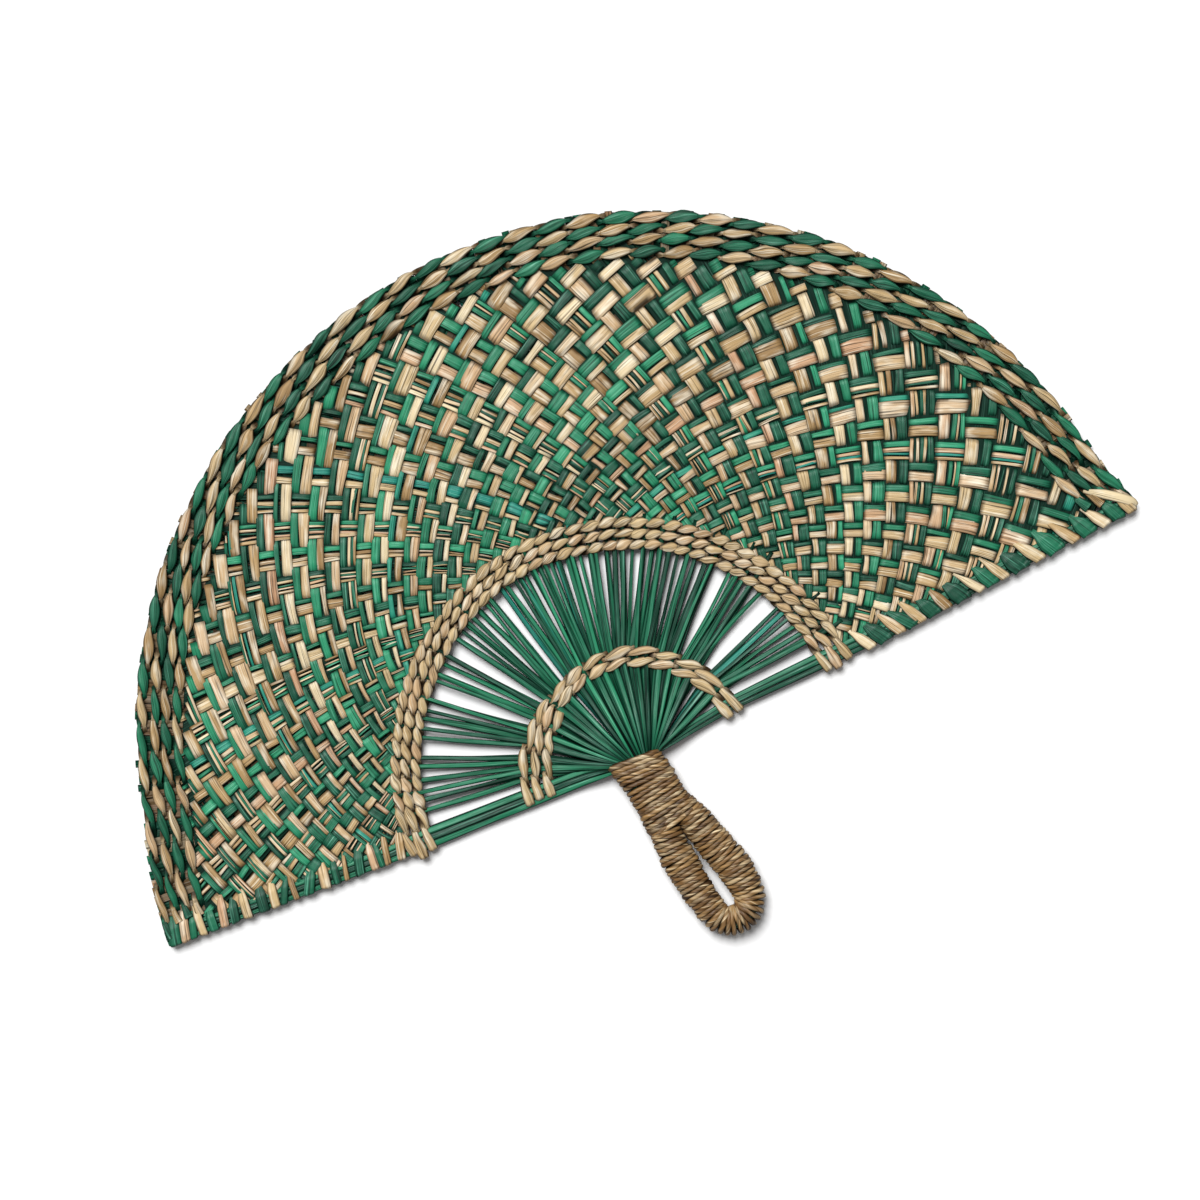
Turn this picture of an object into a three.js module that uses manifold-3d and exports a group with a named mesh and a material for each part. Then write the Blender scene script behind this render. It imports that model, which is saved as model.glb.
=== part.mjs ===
// Woven seagrass hand fan, lying on its back with the handle towards -Y.
// Millimetres, +Z up. The ribs run out of a hub at the mouth of the handle, are twined with
// two narrow bands, and carry a curved woven panel with a twined rim. The handle is the rib
// ends bent round into a loop and wound with cord.
import * as THREE from "three";
import { mergeVertices } from "three/addons/utils/BufferGeometryUtils.js";
import Module from "manifold-3d";

const wasm = await Module();
wasm.setup();

// Clearances between pieces that touch on the real fan
const SEAT_GAP = 0.3;
const TURN_GAP = 0.55;

// Blade: its outer edge is an arc whose centre lies a little off the hub
const ARC_RADIUS = 194.8;
const ARC_CENTRE_X = 9.6;
const ARC_CENTRE_Y = 7.6;
const RIGHT_TIP_FLARE = 6;
const LEFT_TIP_FLARE = 5;
const RIGHT_FLARE_DEGREES = 9;
const LEFT_FLARE_DEGREES = 14;

// Ribs: bundles of straw, the first and the last of them the straight edges of the blade
const RIB_COUNT = 37;
const FIRST_RIB_DEGREES = 4.1;
const RIB_SPREAD_DEGREES = 173.25;
const RIBS_PER_GROUP = 3;
const RIB_ROOT_WIDTH = 1.5;
const RIB_BAND_WIDTH = 2.2;
const RIB_WIDTH = 2.5;
const RIB_ROOT_THICKNESS = 1.6;
const RIB_THICKNESS = 1.8;
const RIB_LAYER_PITCH = 2;
const LAYERED_RISE = 0.9;
const MERGE_RUN = 5.8;
const MERGE_LEAD = 0.65;
const GROUP_SQUEEZE_SHARE = 0.73;
const EDGE_RIB_ROOT_WIDTH = 1.9;
const EDGE_RIB_BAND_WIDTH = 2.8;
const EDGE_RIB_WIDTH = 5.6;
const EDGE_RIB_TIP_WIDTH = 4.8;
const EDGE_RIB_THICKNESS = 3;

// Twined bands: each row is two strands that cross between one rib, or group of ribs, and the next
const STRAND_THICKNESS = 1.2;
const MIDDLE_BAND_RADIUS = 81.2;
const MIDDLE_BAND_CENTRE_X = -3.3;
const MIDDLE_BAND_CENTRE_Y = 1.1;
const MIDDLE_ROW_PITCH = 3.9;
const MIDDLE_ROW_COUNT = 3;
const MIDDLE_STITCH_WIDTH = 3.5;
const MIDDLE_CROSSING_WIDTH = 1.6;
const INNER_BAND_RADIUS = 36.5;
const INNER_BAND_RISE = 4.2;
const INNER_RISE_START_DEGREES = 110;
const INNER_ROW_PITCH = 4.1;
const INNER_ROW_COUNT = 2;
const INNER_STITCH_WIDTH = 3.7;
const INNER_CROSSING_WIDTH = 1.7;
const SHORT_ROW_GROUPS = 4;

// Woven panel and the rim twined round its outer edge
const PANEL_THICKNESS = 3;
const WEAVE_DIP = 0.8;
const STRIP_PAIRS_PER_TURN = 66;
const STRIP_LEAN_DEGREES = 45.5;
const RIM_THICKNESS = 6.4;
const RIM_ROW_COUNT = 4;
const RIM_ROW_PITCH = 4.4;
const RIM_RIGHT_ROW_PITCH = 4.7;
const RIM_LEFT_ROW_PITCH = 4.6;
const RIM_STITCH_COUNT = 50;
const RIM_JOINT_WIDTH_SHARE = 0.55;
const RIM_JOINT_HEIGHT_SHARE = 0.76;
const RIM_TOP_WIDTH_SHARE = 0.45;
const RIM_TAPER_DEGREES = 45;

// Hems: panel strips wrapped round the edge ribs
const HEM_STRIP_WIDTH = 5;
const HEM_STRIP_THICKNESS = 0.9;
const HEM_TURN_PITCH = 10;

// Handle: a neck, then a loop with a long narrow hole
const HANDLE_LEAN_DEGREES = 9;
const HANDLE_LENGTH = 77;
const HUB_HEAD_RADIUS = 7;
const HUB_HEAD_CHAMFER = 0.8;
const LEG_CORE_RADIUS = 3.2;
const MOUTH_HALF_SPACING = 4.7;
const WAIST_HALF_SPACING = 3.1;
const LEG_HALF_SPACING = 5.65;
const LOOP_HALF_WIDTH = 8.2;
const WAIST_PLACE = 12;
const NECK_LENGTH = 26;
const HOLE_FLARE_START = 34;
const CORD_THICKNESS = 1.9;
const NECK_TURNS = 9;
const LOOP_TURNS = 23;

// Facets
const ARC_FACET_DEGREES = 4;
const TURN_STEPS = 12;
const HEM_TURN_STEPS = 6;
const ROUND_SIDES = 10;
const NECK_STEPS = 10;
const LOOP_PATH_STEPS = 26;

const degrees = THREE.MathUtils.degToRad;
const lerp = THREE.MathUtils.lerp;
const smooth = THREE.MathUtils.smoothstep;

// Heights above the surface that the fan lies on
const MID_HEIGHT = RIM_THICKNESS / 2;
const BINDING_RADIUS = LEG_CORE_RADIUS + SEAT_GAP + CORD_THICKNESS / 2;
const HANDLE_HEIGHT = BINDING_RADIUS + CORD_THICKNESS / 2;

// Radii and angles that follow from the sizes above
const RIB_PITCH = degrees(RIB_SPREAD_DEGREES) / (RIB_COUNT - 1);
const RIB_START = HUB_HEAD_RADIUS + SEAT_GAP;
const MIDDLE_HALF_ROW = MIDDLE_CROSSING_WIDTH + SEAT_GAP / 2;
const MIDDLE_BAND_INNER = MIDDLE_BAND_RADIUS - MIDDLE_HALF_ROW;
const MIDDLE_BAND_OUTER = MIDDLE_BAND_RADIUS + (MIDDLE_ROW_COUNT - 1) * MIDDLE_ROW_PITCH + MIDDLE_HALF_ROW;
const PANEL_INNER_RADIUS = MIDDLE_BAND_OUTER + 2 * SEAT_GAP;
const INNER_HALF_ROW = INNER_CROSSING_WIDTH + SEAT_GAP / 2;
const INNER_BAND_OUTER = INNER_BAND_RADIUS + (INNER_ROW_COUNT - 1) * INNER_ROW_PITCH + INNER_HALF_ROW;
const SHORT_ROW_INNER = INNER_BAND_RADIUS - INNER_ROW_PITCH - INNER_STITCH_WIDTH / 2;
const MERGED_RADIUS = SHORT_ROW_INNER - MERGE_LEAD;
const LAYERED_RADIUS = MERGED_RADIUS - MERGE_RUN;
const HEM_HALF_WIDTH = EDGE_RIB_WIDTH / 2 + SEAT_GAP + HEM_STRIP_THICKNESS;
const HEM_SIDE = HEM_HALF_WIDTH + SEAT_GAP;
const STRIP_PAIR_PITCH = (2 * Math.PI) / STRIP_PAIRS_PER_TURN;

// The neck starts low enough to clear the edge rib on the side that the handle leans to
const LEAN_SLOPE = Math.sin(degrees(HANDLE_LEAN_DEGREES));
const UNDER_EDGE_RIB = EDGE_RIB_ROOT_WIDTH / 2 + SEAT_GAP;
const NECK_START = UNDER_EDGE_RIB + LEAN_SLOPE * (MOUTH_HALF_SPACING + LEG_CORE_RADIUS);
const NECK_CORD_TOP = UNDER_EDGE_RIB + LEAN_SLOPE * (MOUTH_HALF_SPACING + HANDLE_HEIGHT);
const NECK_CORD_END = NECK_LENGTH - 2 * SEAT_GAP;
const NECK_CORD_WIDTH = (NECK_CORD_END - NECK_CORD_TOP - NECK_TURNS * TURN_GAP) / (NECK_TURNS + 1);
const NECK_CORD_START = NECK_CORD_TOP + NECK_CORD_WIDTH / 2;

// The legs leave the neck below its waist, and bend round at the handle's end
const LEG_ROOT = (WAIST_PLACE + NECK_LENGTH) / 2;
const BEND_PLACE = HANDLE_LENGTH - LOOP_HALF_WIDTH - HANDLE_HEIGHT;

const finishes = {
  green_straw: new THREE.MeshStandardMaterial({ color: 0x1f7a55, roughness: 0.6, metalness: 0 }),
  natural_straw: new THREE.MeshStandardMaterial({ color: 0xd2b685, roughness: 0.65, metalness: 0 }),
  woven_straw: new THREE.MeshStandardMaterial({ color: 0x9a9a68, roughness: 0.65, metalness: 0 }),
  rim_straw: new THREE.MeshStandardMaterial({ color: 0x6f8f63, roughness: 0.6, metalness: 0 }),
  seagrass_cord: new THREE.MeshStandardMaterial({ color: 0xa8845a, roughness: 0.7, metalness: 0 }),
};

const fan = new THREE.Group();
const handle = new THREE.Group();
handle.rotation.z = degrees(HANDLE_LEAN_DEGREES);
fan.add(handle);

function place(parent, name, geometry, finish) {
  const mesh = new THREE.Mesh(geometry, finishes[finish]);
  mesh.name = name;
  parent.add(mesh);
  return mesh;
}

function polar(radius, angle, height) {
  return new THREE.Vector3(radius * Math.cos(angle), radius * Math.sin(angle), height);
}

// A closed body through a row of rings that all have the same number of points
function loft(rings) {
  const sides = rings[0].length;
  const position = rings.flat().flatMap((point) => [point.x, point.y, point.z]);
  const index = [];
  for (let ring = 0; ring < rings.length - 1; ring += 1) {
    for (let side = 0; side < sides; side += 1) {
      const a = ring * sides + side;
      const b = ring * sides + ((side + 1) % sides);
      index.push(a, b, b + sides, a, b + sides, a + sides);
    }
  }
  const last = (rings.length - 1) * sides;
  for (let side = 1; side < sides - 1; side += 1) {
    index.push(0, side + 1, side, last, last + side, last + side + 1);
  }
  return facingOut(position, index);
}

// Turns every triangle round if the body came out with its faces pointing in
function facingOut(position, index) {
  let volume = 0;
  const corner = (i) => new THREE.Vector3().fromArray(position, 3 * i);
  for (let i = 0; i < index.length; i += 3) {
    volume += corner(index[i]).dot(corner(index[i + 1]).cross(corner(index[i + 2])));
  }
  const geometry = new THREE.BufferGeometry();
  geometry.setAttribute("position", new THREE.Float32BufferAttribute(position, 3));
  geometry.setIndex(volume > 0 ? index : index.reverse());
  geometry.computeVertexNormals();
  return geometry;
}

function solidOf(geometry) {
  const plain = geometry.clone();
  plain.deleteAttribute("normal");
  plain.deleteAttribute("uv");
  const merged = mergeVertices(plain);
  return new wasm.Manifold(new wasm.Mesh({
    numProp: 3,
    vertProperties: new Float32Array(merged.attributes.position.array),
    triVerts: new Uint32Array(merged.index.array),
  }));
}

function geometryOf(solid) {
  const mesh = solid.getMesh();
  const geometry = new THREE.BufferGeometry();
  geometry.setAttribute("position", new THREE.BufferAttribute(mesh.vertProperties, 3));
  geometry.setIndex(new THREE.BufferAttribute(mesh.triVerts, 1));
  geometry.computeVertexNormals();
  return geometry;
}

// Ribs. They leave the hub in three layers, come together in one layer before the inner band,
// which pinches them into groups, and spread evenly to the middle band.
function ribAngle(rib) {
  return degrees(FIRST_RIB_DEGREES) + rib * RIB_PITCH;
}

function groupOf(rib) {
  return Math.floor((rib + 1) / RIBS_PER_GROUP);
}

function ribsIn(group) {
  return [...Array(RIB_COUNT).keys()].filter((rib) => groupOf(rib) === group);
}

function groupAngle(group) {
  const angles = ribsIn(group).map(ribAngle);
  return angles.reduce((sum, angle) => sum + angle, 0) / angles.length;
}

function pinchedAngle(rib, pinch) {
  const group = groupOf(rib);
  const share = ribsIn(group).length < RIBS_PER_GROUP ? 1 : lerp(1, GROUP_SQUEEZE_SHARE, pinch);
  return groupAngle(group) + (ribAngle(rib) - groupAngle(group)) * share;
}

// The middle band and the panel's inner edge are circles about a centre beside the hub. This is
// how much farther than its own radius such a circle lies from the hub.
function middleShift(angle) {
  return MIDDLE_BAND_CENTRE_X * Math.cos(angle) + MIDDLE_BAND_CENTRE_Y * Math.sin(angle);
}

// The inner band moves away from the hub towards the left, where the short row joins it
function innerShift(angle) {
  return INNER_BAND_RISE * smooth(angle, degrees(INNER_RISE_START_DEGREES), ribAngle(RIB_COUNT - 1));
}

// A flattened hexagon across a rib, whose broad sides face up and down
const RIB_SECTION_SHARES = [[0.5, 0], [0.18, 0.5], [-0.18, 0.5], [-0.5, 0], [-0.18, -0.5], [0.18, -0.5]];

function ribRing(radius, angle, height, width, thickness) {
  const centre = polar(radius, angle, height);
  const across = polar(1, angle + degrees(90), 0);
  return RIB_SECTION_SHARES.map(([side, up]) => {
    const point = centre.clone().addScaledVector(across, side * width);
    point.z += up * thickness;
    return point;
  });
}

function rib(number) {
  const layer = (((number + 1) % RIBS_PER_GROUP) - 1) * RIB_LAYER_PITCH;
  const free = ribAngle(number);
  const pinched = pinchedAngle(number, 1);
  const layered = MID_HEIGHT + LAYERED_RISE + layer;
  return loft([
    ribRing(RIB_START, free, HANDLE_HEIGHT + layer, RIB_ROOT_WIDTH, RIB_ROOT_THICKNESS),
    ribRing(LAYERED_RADIUS, free, layered, RIB_ROOT_WIDTH, RIB_ROOT_THICKNESS),
    ribRing(MERGED_RADIUS, pinched, MID_HEIGHT, RIB_ROOT_WIDTH, RIB_ROOT_THICKNESS),
    ribRing(INNER_BAND_OUTER + innerShift(free), pinched, MID_HEIGHT, RIB_BAND_WIDTH, RIB_THICKNESS),
    ribRing(MIDDLE_BAND_INNER + middleShift(free), free, MID_HEIGHT, RIB_WIDTH, RIB_THICKNESS),
    ribRing(panelInnerRadius(free) - SEAT_GAP, free, MID_HEIGHT, RIB_WIDTH, RIB_THICKNESS),
  ]);
}

// The edge ribs run on under the hems, to the tips of the blade
function edgeRib(number, end) {
  const angle = ribAngle(number);
  const bandOuter = INNER_BAND_OUTER + innerShift(angle);
  const bandInner = MIDDLE_BAND_INNER + middleShift(angle);
  return loft([
    ribRing(RIB_START, angle, HANDLE_HEIGHT, EDGE_RIB_ROOT_WIDTH, RIB_ROOT_THICKNESS),
    ribRing(LAYERED_RADIUS, angle, MID_HEIGHT + LAYERED_RISE, EDGE_RIB_ROOT_WIDTH, RIB_ROOT_THICKNESS),
    ribRing(MERGED_RADIUS, angle, MID_HEIGHT, EDGE_RIB_BAND_WIDTH, RIB_THICKNESS),
    ribRing(bandOuter, angle, MID_HEIGHT, EDGE_RIB_BAND_WIDTH, RIB_THICKNESS),
    ribRing(bandInner, angle, MID_HEIGHT, EDGE_RIB_WIDTH, EDGE_RIB_THICKNESS),
    ribRing(panelInnerRadius(angle), angle, MID_HEIGHT, EDGE_RIB_WIDTH, EDGE_RIB_THICKNESS),
    ribRing(end, angle, MID_HEIGHT, EDGE_RIB_TIP_WIDTH, EDGE_RIB_THICKNESS),
  ]);
}

// One strand of a twined row. It passes over one stitch and under the next, and between the two
// it lies beside its partner, so that the pair turns like a rope round the ribs.
function strandRing(radius, angle, height, width) {
  return [
    polar(radius + width / 2, angle, height),
    polar(radius, angle, height + STRAND_THICKNESS / 2),
    polar(radius - width / 2, angle, height),
    polar(radius, angle, height - STRAND_THICKNESS / 2),
  ];
}

function twinedStrand(radiusAt, stitches, startsOver, widths) {
  const rings = [];
  const side = (widths.crossing + SEAT_GAP) / 2;
  const crossing = (angle, over) => {
    const offset = over ? -side : side;
    rings.push(strandRing(radiusAt(angle) + offset, angle, MID_HEIGHT, widths.crossing));
  };
  const first = stitches[0];
  const reach = (stitch) => (stitch.halfWidth + SEAT_GAP + STRAND_THICKNESS) / radiusAt(stitch.angle);
  crossing(first.angle - reach(first), !startsOver);
  stitches.forEach((stitch, number) => {
    const over = (number % 2 === 0) === startsOver;
    const rise = stitch.halfThickness + SEAT_GAP + STRAND_THICKNESS / 2;
    const height = MID_HEIGHT + (over ? rise : -rise);
    const reachOnTop = (stitch.flatHalfWidth ?? 0) / radiusAt(stitch.angle);
    for (const angle of reachOnTop > 0 ? [-reachOnTop, reachOnTop] : [0]) {
      rings.push(strandRing(radiusAt(stitch.angle + angle), stitch.angle + angle, height, widths.stitch));
    }
    const next = stitches[number + 1];
    crossing(next ? (stitch.angle + next.angle) / 2 : stitch.angle + reach(stitch), over);
  });
  return loft(rings);
}

function middleStitches() {
  return [...Array(RIB_COUNT).keys()].map((number) => {
    const edge = number === 0 || number === RIB_COUNT - 1;
    return {
      angle: ribAngle(number),
      halfWidth: (edge ? EDGE_RIB_WIDTH : RIB_WIDTH) / 2,
      flatHalfWidth: edge ? EDGE_RIB_WIDTH / 4 : 0,
      halfThickness: (edge ? EDGE_RIB_THICKNESS : RIB_THICKNESS) / 2,
    };
  });
}

function innerStitches(radiusAt) {
  const groups = groupOf(RIB_COUNT - 1) + 1;
  return [...Array(groups).keys()].map((group) => {
    const members = ribsIn(group);
    const low = pinchedAngle(members[0], 1);
    const high = pinchedAngle(members[members.length - 1], 1);
    const angle = (low + high) / 2;
    const halfSpan = (radiusAt(angle) * (high - low)) / 2;
    return {
      angle,
      halfWidth: halfSpan + EDGE_RIB_BAND_WIDTH / 2,
      flatHalfWidth: halfSpan + RIB_BAND_WIDTH / 4,
      halfThickness: RIB_THICKNESS / 2,
    };
  });
}

function twineBand(name, radiusAt, stitches, widths) {
  place(fan, `${name}_strand_a`, twinedStrand(radiusAt, stitches, true, widths), "natural_straw");
  place(fan, `${name}_strand_b`, twinedStrand(radiusAt, stitches, false, widths), "natural_straw");
}

// The outer edge of the blade, and the width of a rim row, at an angle about the arc's centre
function outerRadius(angle) {
  const right = 1 - smooth(angle, 0, degrees(RIGHT_FLARE_DEGREES));
  const left = 1 - smooth(degrees(180) - angle, 0, degrees(LEFT_FLARE_DEGREES));
  return ARC_RADIUS + right * RIGHT_TIP_FLARE + left * LEFT_TIP_FLARE;
}

function rimRowPitch(angle) {
  const right = 1 - smooth(angle, 0, degrees(RIM_TAPER_DEGREES));
  const left = 1 - smooth(degrees(180) - angle, 0, degrees(RIM_TAPER_DEGREES));
  return lerp(lerp(RIM_ROW_PITCH, RIM_RIGHT_ROW_PITCH, right), RIM_LEFT_ROW_PITCH, left);
}

function aboutArcCentre(radius, angle, height) {
  return polar(radius, angle, height).add(new THREE.Vector3(ARC_CENTRE_X, ARC_CENTRE_Y, 0));
}

// The angle about the arc's centre at which a radius meets the inner side of a hem
function hemAngle(ribNumber, radius) {
  const inward = ribNumber === 0 ? 1 : -1;
  const across = polar(inward, ribAngle(ribNumber) + degrees(90), 0);
  const fromCentre = HEM_SIDE - across.dot(new THREE.Vector3(ARC_CENTRE_X, ARC_CENTRE_Y, 0));
  return ribAngle(ribNumber) + inward * Math.asin(fromCentre / radius);
}

// A rim row is a line of pointed stitches, fat in the middle and narrow where they meet. The
// stitches of all rows meet on the same lines, and the underside is pressed flat.
function rimRow(row) {
  const rings = [];
  const edges = (angle) => [row, row + 1].map((rows) => outerRadius(angle) - rows * rimRowPitch(angle));
  const start = Math.max(...edges(0).map((radius) => hemAngle(0, radius)));
  const end = Math.min(...edges(Math.PI).map((radius) => hemAngle(RIB_COUNT - 1, radius)));
  const steps = 2 * RIM_STITCH_COUNT;
  for (let step = 0; step <= steps; step += 1) {
    const angle = lerp(start, end, step / steps);
    const joint = step % 2 === 0;
    const pitch = rimRowPitch(angle);
    const radius = outerRadius(angle) - (row + 0.5) * pitch;
    const width = (pitch - SEAT_GAP) * (joint ? RIM_JOINT_WIDTH_SHARE : 1);
    const top = RIM_THICKNESS * (joint ? RIM_JOINT_HEIGHT_SHARE : 1);
    rings.push([
      aboutArcCentre(radius + width / 2, angle, 0),
      aboutArcCentre(radius + (width * RIM_TOP_WIDTH_SHARE) / 2, angle, top),
      aboutArcCentre(radius - (width * RIM_TOP_WIDTH_SHARE) / 2, angle, top),
      aboutArcCentre(radius - width / 2, angle, 0),
    ]);
  }
  return loft(rings);
}

function panelOuterRadius(angle) {
  return outerRadius(angle) - RIM_ROW_COUNT * rimRowPitch(angle) - SEAT_GAP / 2;
}

function panelInnerRadius(angle) {
  return PANEL_INNER_RADIUS + middleShift(angle);
}

// The woven panel fills the blade between the middle band, the hems and the rim
function panelOutline() {
  const startAngle = hemAngle(0, panelOuterRadius(0));
  const endAngle = hemAngle(RIB_COUNT - 1, panelOuterRadius(Math.PI));
  const steps = Math.ceil((endAngle - startAngle) / degrees(ARC_FACET_DEGREES));
  const points = [];
  for (let step = 0; step <= steps; step += 1) {
    const angle = lerp(startAngle, endAngle, step / steps);
    points.push(aboutArcCentre(panelOuterRadius(angle), angle, 0));
  }
  const [right, left] = [0, RIB_COUNT - 1].map(ribAngle);
  const reach = (edge) => Math.asin(HEM_SIDE / panelInnerRadius(edge));
  for (let step = 0; step <= steps; step += 1) {
    const angle = lerp(left - reach(left), right + reach(right), step / steps);
    points.push(polar(panelInnerRadius(angle) / Math.cos(degrees(ARC_FACET_DEGREES) / 2), angle, 0));
  }
  return points.map((point) => new THREE.Vector2(point.x, point.y));
}

// Pairs of strips spiral out from the middle band, one family each way. Two lines between pairs,
// one of each family, meet at a point of the grid.
function weavePoint(outward, inward, height) {
  const spread = ((outward - inward) * STRIP_PAIR_PITCH) / (2 * Math.tan(degrees(STRIP_LEAN_DEGREES)));
  return polar(PANEL_INNER_RADIUS * Math.exp(spread), ((outward + inward) * STRIP_PAIR_PITCH) / 2, height);
}

// Where one pair crosses another, the sheet swells into a pillow, with dips at its corners
function weaveSheet(top, bottom) {
  const farthest = ARC_RADIUS + RIGHT_TIP_FLARE + LEFT_TIP_FLARE + Math.hypot(ARC_CENTRE_X, ARC_CENTRE_Y);
  const turning = Math.log(farthest / PANEL_INNER_RADIUS) * Math.tan(degrees(STRIP_LEAN_DEGREES));
  const before = Math.ceil(turning / STRIP_PAIR_PITCH) + 1;
  const size = before + Math.ceil(STRIP_PAIRS_PER_TURN / 2) + 2;
  const atBorder = (a, b) => Math.max(a, b) === 0 || Math.min(a, b) === size;
  const position = [];
  const index = [];
  const add = (point) => position.push(point.x, point.y, point.z) / 3 - 1;
  const grid = (height) => [...Array(size + 1).keys()].map((i) => (
    [...Array(size + 1).keys()].map((j) => add(weavePoint(i - 1, j - before, height)))
  ));
  const upper = grid(top - WEAVE_DIP);
  const lower = grid(bottom);
  for (let i = 0; i < size; i += 1) {
    for (let j = 0; j < size; j += 1) {
      const crown = add(weavePoint(i - 0.5, j - before + 0.5, top));
      const corners = [[i, j], [i + 1, j], [i + 1, j + 1], [i, j + 1]];
      corners.forEach(([a, b], corner) => {
        const [c, d] = corners[(corner + 1) % corners.length];
        index.push(crown, upper[a][b], upper[c][d]);
        if (atBorder(a, c) || atBorder(b, d)) {
          index.push(upper[a][b], lower[a][b], upper[c][d], upper[c][d], lower[a][b], lower[c][d]);
        }
      });
      const [a, b, c, d] = corners.map(([row, column]) => lower[row][column]);
      index.push(a, c, b, a, d, c);
    }
  }
  return facingOut(position, index);
}

function wovenPanel() {
  const shape = new THREE.Shape(panelOutline());
  const outline = new THREE.ExtrudeGeometry(shape, { depth: 2 * PANEL_THICKNESS, bevelEnabled: false });
  outline.translate(0, 0, MID_HEIGHT - PANEL_THICKNESS / 2);
  const sheet = weaveSheet(MID_HEIGHT + PANEL_THICKNESS / 2, MID_HEIGHT - PANEL_THICKNESS);
  return geometryOf(solidOf(outline).intersect(solidOf(sheet)));
}

// How far along an edge rib, and beside it by offset, the blade reaches
function reachAlongEdge(ribNumber, offset) {
  const along = polar(1, ribAngle(ribNumber), 0);
  const across = polar(1, ribAngle(ribNumber) + degrees(90), 0);
  const centre = new THREE.Vector3(ARC_CENTRE_X, ARC_CENTRE_Y, 0);
  let reach = ARC_RADIUS;
  for (let pass = 0; pass < TURN_STEPS; pass += 1) {
    const point = along.clone().multiplyScalar(reach).addScaledVector(across, offset).sub(centre);
    reach += outerRadius(Math.abs(Math.atan2(point.y, point.x))) - point.length();
  }
  return reach;
}

function edgeEnd(ribNumber) {
  const reaches = [-HEM_HALF_WIDTH, 0, HEM_HALF_WIDTH].map((offset) => reachAlongEdge(ribNumber, offset));
  return Math.min(...reaches);
}

// A hem is one flat strip that winds along the edge rib from the panel's start to the tip
function hem(ribNumber, end) {
  const angle = ribAngle(ribNumber);
  const along = polar(1, angle, 0);
  const across = polar(1, angle + degrees(90), 0);
  const start = panelInnerRadius(angle) + HEM_STRIP_WIDTH / 2;
  const length = end - HEM_STRIP_WIDTH / 2 - start;
  const turns = Math.floor(length / HEM_TURN_PITCH);
  const steps = turns * HEM_TURN_STEPS;
  const rings = [];
  for (let step = 0; step <= steps; step += 1) {
    const turn = degrees((360 * step) / HEM_TURN_STEPS);
    const centre = along.clone().multiplyScalar(start + (length * step) / steps);
    const ringPoint = (lengthwise, outward) => {
      const halfWide = EDGE_RIB_WIDTH / 2 + SEAT_GAP + outward;
      const halfHigh = EDGE_RIB_THICKNESS / 2 + SEAT_GAP + outward;
      const point = centre.clone().addScaledVector(along, lengthwise);
      point.addScaledVector(across, halfWide * squared(Math.cos(turn)));
      point.z = MID_HEIGHT + halfHigh * squared(Math.sin(turn));
      return point;
    };
    rings.push([
      ringPoint(-HEM_STRIP_WIDTH / 2, 0),
      ringPoint(HEM_STRIP_WIDTH / 2, 0),
      ringPoint(HEM_STRIP_WIDTH / 2, HEM_STRIP_THICKNESS),
      ringPoint(-HEM_STRIP_WIDTH / 2, HEM_STRIP_THICKNESS),
    ]);
  }
  return loft(rings);
}

// Draws a circle's coordinate out towards a rounded square
function squared(value) {
  const ROUNDING_SHARE = 0.45;
  return Math.sign(value) * Math.abs(value) ** ROUNDING_SHARE;
}

// How far a leg's middle lies from the handle's axis: the neck is waisted, and the legs part
// slowly round the hole
function legHalfSpacing(down) {
  if (down < WAIST_PLACE) {
    return lerp(MOUTH_HALF_SPACING, WAIST_HALF_SPACING, smooth(down, 0, WAIST_PLACE));
  }
  if (down < NECK_LENGTH) {
    return lerp(WAIST_HALF_SPACING, LEG_HALF_SPACING, smooth(down, WAIST_PLACE, NECK_LENGTH));
  }
  return lerp(LEG_HALF_SPACING, LOOP_HALF_WIDTH, smooth(down, HOLE_FLARE_START, BEND_PLACE));
}

// The centre line of the loop: down one leg, round the end and up the other leg
class LoopPath extends THREE.Curve {
  constructor() {
    super();
    this.legLength = BEND_PLACE - LEG_ROOT;
    this.bendLength = Math.PI * LOOP_HALF_WIDTH;
    this.arcLengthDivisions = LOOP_PATH_STEPS * LOOP_PATH_STEPS;
  }

  getPoint(share) {
    const total = 2 * this.legLength + this.bendLength;
    const run = share * total;
    const down = LEG_ROOT + Math.min(run, total - run);
    if (down < BEND_PLACE) {
      const side = run < this.legLength ? 1 : -1;
      return new THREE.Vector3(side * legHalfSpacing(down), -down, HANDLE_HEIGHT);
    }
    const turn = (run - this.legLength) / LOOP_HALF_WIDTH;
    const x = LOOP_HALF_WIDTH * Math.cos(turn);
    return new THREE.Vector3(x, -BEND_PLACE - LOOP_HALF_WIDTH * Math.sin(turn), HANDLE_HEIGHT);
  }
}

function circleShape(radius, sides) {
  const points = [];
  for (let side = 0; side < sides; side += 1) {
    const angle = (side / sides) * 2 * Math.PI;
    points.push(new THREE.Vector2(radius * Math.cos(angle), radius * Math.sin(angle)));
  }
  return new THREE.Shape(points);
}

// The rib ends bound together: a round head that the ribs seat against, a flat neck and the loop
function hubHead() {
  const halfHeight = LEG_CORE_RADIUS;
  const profile = [
    [0, -halfHeight],
    [HUB_HEAD_RADIUS - HUB_HEAD_CHAMFER, -halfHeight],
    [HUB_HEAD_RADIUS, HUB_HEAD_CHAMFER - halfHeight],
    [HUB_HEAD_RADIUS, halfHeight - HUB_HEAD_CHAMFER],
    [HUB_HEAD_RADIUS - HUB_HEAD_CHAMFER, halfHeight],
    [0, halfHeight],
  ];
  const geometry = new THREE.LatheGeometry(profile.map(([x, y]) => new THREE.Vector2(x, y)), 2 * ROUND_SIDES);
  return geometry.rotateX(degrees(90)).translate(0, 0, HANDLE_HEIGHT);
}

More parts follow.
